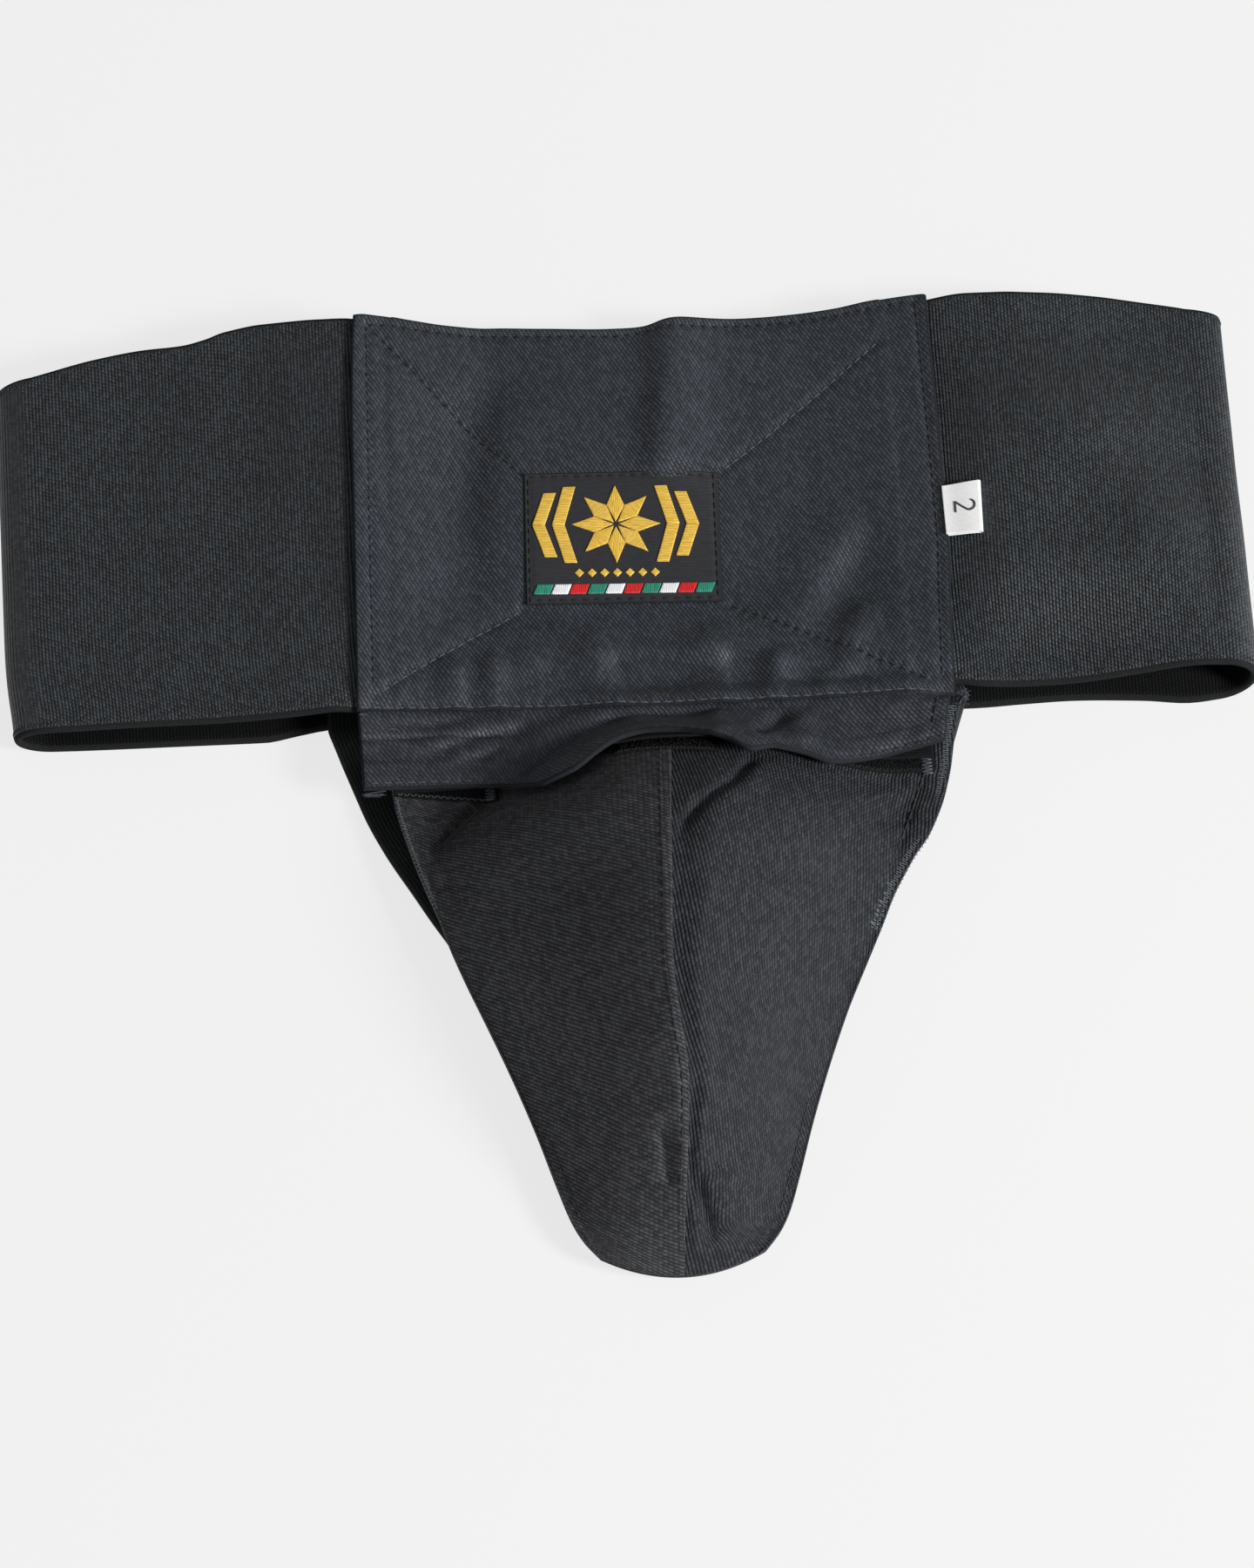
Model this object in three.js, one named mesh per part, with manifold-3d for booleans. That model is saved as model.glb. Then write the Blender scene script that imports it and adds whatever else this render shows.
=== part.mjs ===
// A groin protector lying on its back: a wide elastic waistband folded flat, a twill front panel,
// a domed two-panel pouch that holds a rigid cup, a hook-and-loop closure flap and two leg straps.
// Units are millimetres, +Z up. X runs across the waistband, +Y runs from the pouch to the waistband.
// The origin is under the middle of the front panel, on the flat back of the waistband.
import * as THREE from "three";
import { mergeVertices } from "three/addons/utils/BufferGeometryUtils.js";
import Module from "manifold-3d";

const wasm = await Module();
wasm.setup();

// Clearance between pieces that touch or are sewn together
const GAP = 0.3;

// Waistband elastic
const WAIST_FLAT_WIDTH = 297; // fold to fold
const BAND_HEIGHT = 110;
const BAND_THICK = 2.2;
const LOOP_GAP = 8.6; // free height between the front and back halves
const PANEL_OFFSET = 7; // the front panel lies right of the flattened band's middle
const FOLD_REACH = 8; // how far each folded end bulges past the flat back
const FOLD_FLARE = 1.7; // the folds lie further out at the upper edge than at the lower
const END_DROP = 11; // the upper edge falls towards the folds
const END_DROP_RUN = 60;
const TOP_DIP = 5; // sag of the upper edge behind the front panel
const TOP_DIP_RUN = 38;
const SIDE_HOLLOW = 1.2; // shallow hollow in each side of the front half
const SIDE_HOLLOW_RUN = 16;

// Front panel
const PANEL_WIDTH = 139;
const PANEL_THICK = 1.2;
const PANEL_RISE = 0.8; // above the upper edge of the elastic
const PANEL_DROP = 2.3; // from the elastic's lower edge down to the flap's seam
const PUCKER_HEIGHT = 1.4;
const PUCKER_PITCH = 27;
const PUCKER_SPREAD = 50; // half of the width that is gathered
const PUCKER_RAMP = 11; // length over which a pucker rises

// Labels
const LABEL_WIDTH = 47;
const LABEL_HEIGHT = 36.5;
const LABEL_THICK = 0.6;
const LABEL_X = -7;
const LABEL_Y = -9.8;
const TAG_WIDTH = 15;
const TAG_REACH = 9;
const TAG_THICK = 0.5;
const TAG_Y = -7.4;

// Closure flap, and the hook and loop patches
const FLAP_HEIGHT = 19; // from the seam to the lower edge, along the cloth
const FLAP_WIDTH = 135;
const FLAP_X = -2.5;
const FLAP_THICK = 1.2;
const FLAP_CURL = 1.6; // extra lift of the flap's loose middle
const FLAP_SETTLE = 4.2; // distance over which the flap settles onto the patches
const PATCH_WIDTH = 24;
const PATCH_HEIGHT = 13;
const PATCH_THICK = 0.9;
const PATCH_START = 1.2; // from the pouch's mouth, along the cloth
const PATCH_RIGHT_INSET = 3; // the right patch lies this much further in than the left

// Pouch
const CLOTH_THICK = 0.7;
const POUCH_TOP_HALF = 64; // half of its width at the mouth
const POUCH_LENGTH = 135; // mouth to tip
const MOUTH_DROP = 6.5; // from the elastic's lower edge to the mouth
const POUCH_CROWN = 36; // height of the dome over its seams
const POUCH_LEAN = -4; // sideways drift of the lower pouch
const SEAM_MARGIN = 3.5; // flat edge sewn to the liner
const TIP_ROUND = 5; // the bottom seam's corners lie this much higher up than its middle
const LEFT_DROOP = 2.4; // the mouth's left corner sags
const RIGHT_RAISE = 2.5; // the mouth's right corner is pushed up by the cup
const LINER_OVERLAP = 9; // sewn behind the elastic

// Cup
const CUP_TOP_DROP = 18; // from the pouch's mouth to the cup's upper rim
const CUP_TIP_DROP = 12; // from the cup's lower rim to the pouch's tip
const CUP_SIDE_ROOM = 15; // from the pouch's side seam to the cup's rim
const CUP_CROWN_ROOM = 1.5; // between the dome of the cup and the pouch
const CUP_WALL = 2.4;
const CUP_SHOULDER = 9; // how far in from the rim the wall turns into the dome
const CUP_MIDDLE = 0.42; // place of the dome's centre between the two rims
const BEAD_LIP = 1.6;
const BEAD_BASE = 2.2; // rubber under the shell's edge
const BEAD_GROOVE = 1.4; // depth of the slot that grips the shell's edge
const VENT_RADIUS = 3;
const VENT_PITCH = 15;

// Leg straps
const STRAP_WIDTH = 30;
const STRAP_THICK = 1.6;
const STRAP_OVERLAP = 12; // sewn onto the back of the waistband
const STRAP_OUTER = 75; // outer edge where a strap leaves the waistband, from the pouch's axis
const STRAP_TIP_OUTER = 18; // outer edge at the tip
const STRAP_TIP_DROP = 8; // from the straps' ends to the pouch's tip
const STRAP_RAMP = 9; // length over which a strap changes level

// Edges and levels worked out from the sizes above
const bandLow = -BAND_HEIGHT / 2;
const bandInner = BAND_THICK + LOOP_GAP;
const bandOuter = bandInner + BAND_THICK;
const bandMiddleX = -PANEL_OFFSET;
const panelUnder = bandOuter + GAP;
const panelTop = panelUnder + PANEL_THICK;
const seamY = bandLow - PANEL_DROP;
const mouthY = bandLow - MOUTH_DROP;
const tipY = mouthY - POUCH_LENGTH;
const linerTop = bandInner - GAP;
const linerTip = 2 * STRAP_THICK + 2 * GAP + CLOTH_THICK;
const patchStack = 2 * (PATCH_THICK + GAP);
const patchPlaces = {
  left: PATCH_WIDTH / 2 - POUCH_TOP_HALF,
  centre: -1,
  right: POUCH_TOP_HALF - PATCH_WIDTH / 2 - PATCH_RIGHT_INSET,
};
const cupFoot = GAP + BEAD_BASE + GAP;

const clamp01 = (x) => Math.min(1, Math.max(0, x));
const lerp = (a, b, t) => a + (b - a) * t;
const smooth = (x) => {
  const t = clamp01(x);
  return t * t * (3 - 2 * t);
};
const range = (count) => Array.from({ length: count }, (_, i) => i);

// A smooth curve through hand-picked [place, value] pairs, without overshoot.
function profile(pairs) {
  const last = pairs.length - 1;
  const slopes = range(last).map((i) => (pairs[i + 1][1] - pairs[i][1]) / (pairs[i + 1][0] - pairs[i][0]));
  const tangents = pairs.map((_, i) => {
    if (i === 0 || i === last) return slopes[Math.min(i, last - 1)];
    const [before, after] = [slopes[i - 1], slopes[i]];
    return before * after <= 0 ? 0 : (2 * before * after) / (before + after);
  });
  return (x) => {
    if (x <= pairs[0][0]) return pairs[0][1];
    if (x >= pairs[last][0]) return pairs[last][1];
    const i = pairs.findIndex((pair) => pair[0] > x) - 1;
    const run = pairs[i + 1][0] - pairs[i][0];
    const t = (x - pairs[i][0]) / run;
    const rise = (pairs[i + 1][1] - pairs[i][1]) * t * t * (3 - 2 * t);
    return pairs[i][1] + rise + run * t * (1 - t) * (tangents[i] * (1 - t) - tangents[i + 1] * t);
  };
}

// Waistband shape. Across is 0 at the lower edge of the elastic and 1 at the upper.
const foldX = (side, across) =>
  bandMiddleX + side * (WAIST_FLAT_WIDTH / 2 - FOLD_REACH - BAND_THICK / 2 + FOLD_FLARE * (2 * across - 1));
const bandTopAt = (x) => {
  const fromFold = WAIST_FLAT_WIDTH / 2 - Math.abs(x - bandMiddleX);
  const drop = END_DROP * smooth(1 - fromFold / END_DROP_RUN);
  return BAND_HEIGHT / 2 - drop - TOP_DIP * Math.exp(-((x / TOP_DIP_RUN) ** 2));
};
const bandFrontMiddle = (x) => {
  const fromPanel = Math.abs(x) - PANEL_WIDTH / 2;
  const hollowPlace = (WAIST_FLAT_WIDTH - PANEL_WIDTH) / 5;
  const hollow = SIDE_HOLLOW * Math.exp(-(((fromPanel - hollowPlace) / SIDE_HOLLOW_RUN) ** 2));
  return bandInner + BAND_THICK / 2 - hollow * smooth(fromPanel / 10);
};

// Pouch shape. Along is 0 at the mouth and 1 at the tip, across is -1 at the left seam and 1 at the right.
const halfWidthShare = profile([
  [0, 1.02], [0.11, 0.985], [0.22, 0.915], [0.3, 0.853], [0.36, 0.803], [0.41, 0.768], [0.47, 0.72],
  [0.57, 0.635], [0.67, 0.556], [0.77, 0.485], [0.87, 0.422], [0.93, 0.38], [0.965, 0.343], [1, 0.285],
]);
const crownShare = profile([
  [0, 0.05], [0.045, 0.19], [0.09, 0.36], [0.12, 0.45], [0.24, 0.77], [0.38, 0.95], [0.5, 1],
  [0.65, 0.93], [0.78, 0.74], [0.88, 0.5], [0.95, 0.25], [1, 0],
]);
const leftReach = profile([[0, 0.6], [0.12, 0.72], [0.18, 0.86], [0.26, 0.98], [0.34, 1]]);
const rightReach = profile([[0, 0.8], [0.12, 0.92], [0.24, 1]]);

const alongAt = (y) => (mouthY - y) / POUCH_LENGTH;
const pouchHalf = (along) => POUCH_TOP_HALF * halfWidthShare(along);
const axisX = (along) => POUCH_LEAN * Math.sin((Math.PI / 2) * clamp01(along / 0.6));
const acrossAt = (x, along) => (x - axisX(along)) / pouchHalf(along);
const linerLevel = (x, y) => {
  const along = alongAt(y);
  const tilt = x < 0 ? -LEFT_DROOP * smooth(-x / POUCH_TOP_HALF) : RIGHT_RAISE * smooth(x / POUCH_TOP_HALF);
  const tilted = smooth((y - bandLow) / (mouthY - bandLow)) * (1 - smooth((along - 0.1) / 0.3));
  return lerp(linerTop, linerTip, clamp01(along)) + tilt * tilted;
};
const domeShare = (along, across) => {
  const reach = (across < 0 ? leftReach : rightReach)(along) * (1 - SEAM_MARGIN / pouchHalf(along));
  const out = clamp01(Math.abs(across) / reach);
  const roundness = lerp(2.3, 1.4, smooth((along - 0.12) / 0.25)); // round at the mouth, a ridge further down
  return crownShare(along) * (1 - out ** roundness) ** lerp(2, 1.1, smooth(along / 0.32));
};
const pouchTopAt = (x, y) => {
  const along = alongAt(Math.min(y, mouthY));
  const dome = POUCH_CROWN * domeShare(along, acrossAt(x, along));
  return linerLevel(x, Math.min(y, mouthY)) + GAP + CLOTH_THICK + dome;
};
const seamPoint = (along, across) => {
  const x = axisX(along) + across * pouchHalf(along);
  return [x, mouthY - along * (POUCH_LENGTH - TIP_ROUND * across * across)];
};

function geometryFrom(points, faces) {
  const geometry = new THREE.BufferGeometry();
  const numbers = points.flatMap((p) => [p.x, p.y, p.z]);
  geometry.setAttribute("position", new THREE.Float32BufferAttribute(numbers, 3));
  geometry.setIndex(faces);
  return geometry;
}

// A closed sheet between an upper and a lower surface. Both take u along +X and v along +Y, in 0..1.
function sheet(columns, rows, upper, lower) {
  const faces = [];
  const at = (layer, i, j) => (layer * (rows + 1) + j) * (columns + 1) + i;
  const quad = (a, b, c, d) => faces.push(a, b, c, a, c, d);
  for (const j of range(rows))
    for (const i of range(columns)) {
      quad(at(0, i, j), at(0, i + 1, j), at(0, i + 1, j + 1), at(0, i, j + 1));
      quad(at(1, i, j), at(1, i, j + 1), at(1, i + 1, j + 1), at(1, i + 1, j));
    }
  for (const i of range(columns)) {
    quad(at(1, i, 0), at(1, i + 1, 0), at(0, i + 1, 0), at(0, i, 0));
    quad(at(0, i, rows), at(0, i + 1, rows), at(1, i + 1, rows), at(1, i, rows));
  }
  for (const j of range(rows)) {
    quad(at(0, 0, j), at(0, 0, j + 1), at(1, 0, j + 1), at(1, 0, j));
    quad(at(1, columns, j), at(1, columns, j + 1), at(0, columns, j + 1), at(0, columns, j));
  }
  const grid = (surface) =>
    range(rows + 1).flatMap((j) => range(columns + 1).map((i) => surface(i / columns, j / rows)));
  return geometryFrom([...grid(upper), ...grid(lower)], faces);
}

// A closed ring: each section is the same closed outline, and the last joins the first.
function ring(sections) {
  const per = sections[0].length;
  const faces = [];
  const at = (i, j) => (i % sections.length) * per + (j % per);
  for (const i of range(sections.length))
    for (const j of range(per)) {
      faces.push(at(i, j), at(i, j + 1), at(i + 1, j + 1));
      faces.push(at(i, j), at(i + 1, j + 1), at(i + 1, j));
    }
  return geometryFrom(sections.flat(), faces);
}

// A closed bowl: spokes run from the outer pole over the rim to the inner pole, both left out of them.
function bowl(outerPole, spokes, innerPole) {
  const per = spokes[0].length;
  const faces = [];
  const at = (i, j) => 2 + (i % spokes.length) * per + j;
  for (const i of range(spokes.length)) {
    faces.push(0, at(i, 0), at(i + 1, 0));
    faces.push(1, at(i + 1, per - 1), at(i, per - 1));
    for (const j of range(per - 1)) {
      faces.push(at(i, j), at(i, j + 1), at(i + 1, j + 1));
      faces.push(at(i, j), at(i + 1, j + 1), at(i + 1, j));
    }
  }
  return geometryFrom([outerPole, innerPole, ...spokes.flat()], faces);
}

function solid(geometry) {
  const plain = geometry.clone();
  plain.deleteAttribute("normal");
  plain.deleteAttribute("uv");
  const merged = mergeVertices(plain);
  const vertProperties = new Float32Array(merged.attributes.position.array);
  const triVerts = new Uint32Array(merged.index.array);
  return new wasm.Manifold(new wasm.Mesh({ numProp: 3, vertProperties, triVerts }));
}

function geometryOf(manifold) {
  const mesh = manifold.getMesh();
  const geometry = new THREE.BufferGeometry();
  geometry.setAttribute("position", new THREE.BufferAttribute(new Float32Array(mesh.vertProperties), 3));
  geometry.setIndex(new THREE.BufferAttribute(new Uint32Array(mesh.triVerts), 1));
  return geometry;
}

// Waistband: sections across the elastic, carried right round the flattened loop.
function waistband() {
  const [BACK_STEPS, FOLD_STEPS, FRONT_STEPS, ACROSS_STEPS] = [10, 8, 36, 4];
  const backMiddle = BAND_THICK / 2;
  const along = (steps, side, level) =>
    range(steps).map((i) => (across) => {
      const x = lerp(foldX(-side, across), foldX(side, across), i / steps);
      return [x, level(x)];
    });
  const fold = (i, side) => (across) => {
    const angle = (Math.PI * i) / FOLD_STEPS;
    const x = foldX(side, across);
    const front = bandFrontMiddle(x);
    return [x + side * FOLD_REACH * Math.sin(angle), lerp(backMiddle, front, (1 - Math.cos(angle)) / 2)];
  };
  const route = [
    ...along(BACK_STEPS, 1, () => backMiddle),
    ...range(FOLD_STEPS).map((i) => fold(i, 1)),
    ...along(FRONT_STEPS, -1, bandFrontMiddle),
    ...range(FOLD_STEPS).map((i) => fold(FOLD_STEPS - i, -1)),
  ];
  const shares = range(ACROSS_STEPS + 1).map((j) => j / ACROSS_STEPS);
  const sections = route.map((place, i) => {
    const before = route[(i + route.length - 1) % route.length];
    const after = route[(i + 1) % route.length];
    const edge = (across, side) => {
      const [x, z] = place(across);
      const [x0, z0] = before(across);
      const [x1, z1] = after(across);
      const shift = (side * BAND_THICK) / 2 / Math.hypot(x1 - x0, z1 - z0);
      const y = lerp(bandLow, bandTopAt(x), across);
      return new THREE.Vector3(x + shift * (z1 - z0), y, z - shift * (x1 - x0));
    };
    return [...shares.map((a) => edge(a, 1)), ...shares.toReversed().map((a) => edge(a, -1))];
  });
  return ring(sections);
}

// Front panel: lies on the elastic, gathered into puckers between the label and the flap's seam.
const puckerAt = (x, y) => {
  const along = smooth((LABEL_Y - LABEL_HEIGHT / 2 - y) / PUCKER_RAMP) * smooth((y - seamY) / PUCKER_RAMP);
  const across = 1 - smooth((Math.abs(x) - PUCKER_SPREAD) / PUCKER_RAMP);
  return PUCKER_HEIGHT * along * across * (0.5 - 0.5 * Math.cos((2 * Math.PI * x) / PUCKER_PITCH));
};
function frontPanel() {
  const ROWS = 14;
  const labelLow = LABEL_Y - LABEL_HEIGHT / 2;
  const place = (u, v, lift) => {
    const x = lerp(-PANEL_WIDTH / 2, PANEL_WIDTH / 2, u);
    const upper = lerp(labelLow, bandTopAt(x) + PANEL_RISE, 2 * v - 1);
    const y = v < 0.5 ? lerp(seamY + GAP, labelLow, 2 * v) : upper;
    return new THREE.Vector3(x, y, panelUnder + puckerAt(x, y) + lift);
  };
  return sheet(26, ROWS, (u, v) => place(u, v, PANEL_THICK), (u, v) => place(u, v, 0));
}

function flatPiece(left, low, width, height, level, thick) {
  const place = (u, v, z) => new THREE.Vector3(left + u * width, low + v * height, z);
  return sheet(2, 2, (u, v) => place(u, v, level + thick), (u, v) => place(u, v, level));
}

function wovenLabel() {
  const left = LABEL_X - LABEL_WIDTH / 2;
  const low = LABEL_Y - LABEL_HEIGHT / 2;
  return flatPiece(left, low, LABEL_WIDTH, LABEL_HEIGHT, panelTop + GAP, LABEL_THICK);
}

function sizeTag() {
  const left = PANEL_WIDTH / 2 + GAP;
  return flatPiece(left, TAG_Y - TAG_WIDTH / 2, TAG_REACH, TAG_WIDTH, bandOuter + GAP, TAG_THICK);
}

// Pouch front: one panel each side of the centre seam, sewn to the liner along its outer edge.
function pouchFront(side) {
  const surface = (along, across) => {
    const [x, y] = seamPoint(along, across);
    const dome = POUCH_CROWN * domeShare(along, across);
    return new THREE.Vector3(x, y, linerLevel(x, y) + GAP + CLOTH_THICK + dome);
  };
  const place = (u, v, depth) => {
    const along = (1 - v) ** 1.25; // rows are closer together near the mouth
    const seam = GAP / 2 / pouchHalf(along);
    const across = side * lerp(seam, 1, side > 0 ? u : 1 - u);
    const point = surface(along, across);
    const step = 1e-3;
    const down = surface(along + step, across).sub(surface(along - step, across));
    const right = surface(along, across + step).sub(surface(along, across - step));
    return point.addScaledVector(down.cross(right).normalize(), -depth);
  };
  return sheet(14, 26, (u, v) => place(u, v, 0), (u, v) => place(u, v, CLOTH_THICK));
}

// Liner: the flat back wall of the cup's pocket. Its last row lies behind the elastic.
function pouchLiner() {
  const ROWS = 22;
  const place = (u, v, drop) => {
    const behindElastic = alongAt(bandLow + LINER_OVERLAP);
    const along = v === 1 ? behindElastic : lerp(1, alongAt(bandLow - GAP), (v * ROWS) / (ROWS - 1));
    const [x, y] = seamPoint(along, 2 * u - 1);
    return new THREE.Vector3(x, y, linerLevel(x, y) - drop);
  };
  return sheet(10, ROWS, (u, v) => place(u, v, 0), (u, v) => place(u, v, CLOTH_THICK));
}

// The y at which a cloth laid down a surface from startY has used up a length.
function yAfter(level, x, startY, length) {
  const STEP = 0.25;
  let y = startY;
  let left = length;
  while (left > 0) {
    const used = Math.hypot(STEP, level(x, y - STEP) - level(x, y));
    y -= STEP * Math.min(1, left / used);
    left -= used;
  }
  return y;
}

// Closure flap: hinged on the panel's lower seam, settling onto the patches and over the top of the cup.
const flapUnder = (x, y) => {
  const down = seamY - y;
  const curl = FLAP_CURL * Math.exp(-((x / 22) ** 2)) * smooth((down - FLAP_SETTLE) / FLAP_HEIGHT);
  const rest = pouchTopAt(x, y) + patchStack + GAP + curl;
  return lerp(panelTop - FLAP_THICK, rest, smooth(down / FLAP_SETTLE));
};
function closureFlap() {
  const place = (u, v, lift) => {
    const x = FLAP_X + FLAP_WIDTH * (u - 0.5);
    const y = yAfter(flapUnder, x, seamY, FLAP_HEIGHT * (1 - v));
    return new THREE.Vector3(x, y, flapUnder(x, y) + lift);
  };
  return sheet(36, 8, (u, v) => place(u, v, FLAP_THICK), (u, v) => place(u, v, 0));
}

// A patch laid down the pouch from just below its mouth; level gives the patch's underside.
function patch(middleX, level) {
  const start = mouthY - PATCH_START;
  const place = (u, v, lift) => {
    const x = middleX + PATCH_WIDTH * (u - 0.5);
    const y = yAfter(pouchTopAt, x, start, PATCH_HEIGHT * (1 - v));
    return new THREE.Vector3(x, y, level(x, y) + lift);
  };
  return sheet(8, 6, (u, v) => place(u, v, PATCH_THICK), (u, v) => place(u, v, 0));
}
const pouchPatch = (middleX) => patch(middleX, (x, y) => pouchTopAt(x, y) + GAP);
const flapPatch = (middleX) => patch(middleX, (x, y) => flapUnder(x, y) - GAP - PATCH_THICK);

// Cup: its rim follows the pouch's seams at a distance, and its dome follows the pouch from inside.
const cupTopY = mouthY - CUP_TOP_DROP;
const cupTipY = tipY + CUP_TIP_DROP;
const cupMiddleY = lerp(cupTopY, cupTipY, CUP_MIDDLE);
const cupRim = (angle, outward) => {
  const y = lerp(cupTopY, cupTipY, (1 - Math.cos(angle)) / 2);
  const along = alongAt(y);
  const side = Math.sign(Math.sin(angle)) * Math.abs(Math.sin(angle)) ** 0.8;
  const rim = new THREE.Vector2(axisX(along) + side * (pouchHalf(along) - CUP_SIDE_ROOM), y);
  const middle = new THREE.Vector2(axisX(alongAt(cupMiddleY)), cupMiddleY);
  return rim.add(rim.clone().sub(middle).setLength(outward));
};
const cupPoint = (fromRim, angle, inset) => {
  const rim = cupRim(angle, -inset);
  const middle = new THREE.Vector2(axisX(alongAt(cupMiddleY)), cupMiddleY);
  const { x, y } = rim.lerp(middle, Math.min(1, fromRim / rim.distanceTo(middle)));
  const along = alongAt(y);
  const dome = POUCH_CROWN * domeShare(along, acrossAt(x, along)) - CUP_CROWN_ROOM - cupFoot + GAP;
  const shoulder = 1 - clamp01(fromRim / CUP_SHOULDER);
  const rise = Math.max(0, dome - inset) * Math.sqrt(1 - shoulder * shoulder);
  return new THREE.Vector3(x, y, linerLevel(x, y) + cupFoot + rise);
};
function cupShell() {
  const TURN_STEPS = 36;
  const RISE_STEPS = 6;
  const spokes = range(TURN_STEPS).map((i) => {
    const angle = (-2 * Math.PI * i) / TURN_STEPS;
    const spoke = (inset) => {
      const rim = cupRim(angle, -inset);
      const reach = rim.distanceTo(new THREE.Vector2(axisX(alongAt(cupMiddleY)), cupMiddleY));
      const wall = range(RISE_STEPS + 1).map((j) => CUP_SHOULDER * (1 - Math.cos((Math.PI * j) / 2 / RISE_STEPS)));
      const top = range(4).map((j) => lerp(CUP_SHOULDER, reach, (j + 1) / 5));
      return [...wall, ...top].reverse().map((fromRim) => cupPoint(fromRim, angle, inset));
    };
    return [...spoke(0), ...spoke(CUP_WALL).reverse()];
  });
  let shell = solid(bowl(cupPoint(Infinity, 0, 0), spokes, cupPoint(Infinity, 0, CUP_WALL)));
  for (const place of [-1, 0, 1]) {
    const reach = 2 * POUCH_CROWN;
    const vent = new THREE.CylinderGeometry(VENT_RADIUS, VENT_RADIUS, reach, 16).rotateX(Math.PI / 2);
    vent.translate(axisX(alongAt(cupMiddleY)), cupMiddleY + place * VENT_PITCH, linerTop + cupFoot + reach / 2);
    shell = shell.subtract(solid(vent));
  }
  return geometryOf(shell);
}

// Cup bead: a soft rubber edging with a groove that grips the edge of the shell.
function cupBead() {
  const TURN_STEPS = 36;
  const outer = GAP + BEAD_LIP;
  const outline = [
    [outer, 0], [outer, BEAD_BASE + BEAD_GROOVE], [GAP, BEAD_BASE + BEAD_GROOVE], [GAP, BEAD_BASE],
    [-CUP_WALL - GAP, BEAD_BASE], [-CUP_WALL - GAP, BEAD_BASE + BEAD_GROOVE],
    [-CUP_WALL - outer, BEAD_BASE + BEAD_GROOVE], [-CUP_WALL - outer, 0],
  ];
  const sections = range(TURN_STEPS).map((i) =>
    outline.map(([outward, rise]) => {
      const rim = cupRim((2 * Math.PI * i) / TURN_STEPS, outward);
      return new THREE.Vector3(rim.x, rim.y, linerLevel(rim.x, rim.y) + GAP + rise);
    }),
  );
  return ring(sections);
}

// Leg straps: flat elastic from the back of the waistband to the tip, one crossing over the other there.
const strapTipY = tipY + STRAP_TIP_DROP;
const strapSpread = profile([
  [0, 1], [0.06, 0.947], [0.12, 0.898], [0.17, 0.856], [0.235, 0.786], [0.27, 0.742], [0.31, 0.688],
  [0.37, 0.609], [0.414, 0.547], [0.55, 0.36], [0.7, 0.193], [0.85, 0.07], [1, 0],
]);
const strapOuter = (y) => {
  const toTip = clamp01((bandLow - y) / (bandLow - strapTipY));
  return lerp(STRAP_TIP_OUTER, STRAP_OUTER, strapSpread(toTip));
};
const strapInner = (y) => {
  const slope = strapOuter(y + 0.5) - strapOuter(y - 0.5);
  return strapOuter(y) - STRAP_WIDTH * Math.hypot(1, slope);
};
function legStrap(side, crossesOver) {
  const start = bandLow + STRAP_OVERLAP;
  const onBand = BAND_THICK + GAP;
  const overOther = crossesOver ? STRAP_THICK + GAP : 0;
  const crossing = range(400).map((i) => lerp(bandLow, strapTipY, i / 399)).find((y) => strapInner(y) < 0);
  const level = (y) => {
    const leaves = onBand * (1 - smooth((bandLow - GAP - y) / STRAP_RAMP));
    return leaves + overOther * smooth((crossing + STRAP_RAMP + STRAP_THICK - y) / STRAP_RAMP);
  };
  const place = (u, v, lift) => {
    const y = lerp(strapTipY, start, v);
    const out = side > 0 ? lerp(strapInner(y), strapOuter(y), u) : lerp(strapOuter(y), strapInner(y), u);
    return new THREE.Vector3(POUCH_LEAN + side * out, y, level(y) + lift);
  };
  return sheet(2, 32, (u, v) => place(u, v, STRAP_THICK), (u, v) => place(u, v, 0));
}

const material = (color, roughness) => new THREE.MeshStandardMaterial({ color, roughness, metalness: 0 });
const ELASTIC = material(0x2b2f31, 0.85);
const TWILL = material(0x2c3036, 0.8);
const POUCH_TWILL = material(0x28292c, 0.82);
const LINING = material(0x202224, 0.85);
const LABEL_CLOTH = material(0x1d1d22, 0.6);
const TAG_CLOTH = material(0xf4f4f2, 0.5);
const HOOK_TAPE = material(0x131415, 0.6);
const LOOP_TAPE = material(0x1a1b1c, 0.9);
const CUP_PLASTIC = material(0xd8dadb, 0.35);
const BEAD_RUBBER = material(0x2a2a2c, 0.6);

const group = new THREE.Group();
function add(name, geometry, look) {
  geometry.computeVertexNormals();
  const mesh = new THREE.Mesh(geometry, look.clone());
  mesh.name = name;
  group.add(mesh);
}

add("waistband", waistband(), ELASTIC);
add("front_panel", frontPanel(), TWILL);
add("woven_label", wovenLabel(), LABEL_CLOTH);
add("size_tag", sizeTag(), TAG_CLOTH);
add("closure_flap", closureFlap(), TWILL);
for (const [place, middleX] of Object.entries(patchPlaces)) {
  add(`flap_hook_patch_${place}`, flapPatch(middleX), HOOK_TAPE);
  add(`pouch_loop_patch_${place}`, pouchPatch(middleX), LOOP_TAPE);
}
add("pouch_front_left", pouchFront(-1), POUCH_TWILL);
add("pouch_front_right", pouchFront(1), POUCH_TWILL);
add("pouch_liner", pouchLiner(), LINING);
add("cup_shell", cupShell(), CUP_PLASTIC);
add("cup_bead", cupBead(), BEAD_RUBBER);
add("leg_strap_left", legStrap(-1, false), ELASTIC);
add("leg_strap_right", legStrap(1, true), ELASTIC);

export default group;
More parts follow.
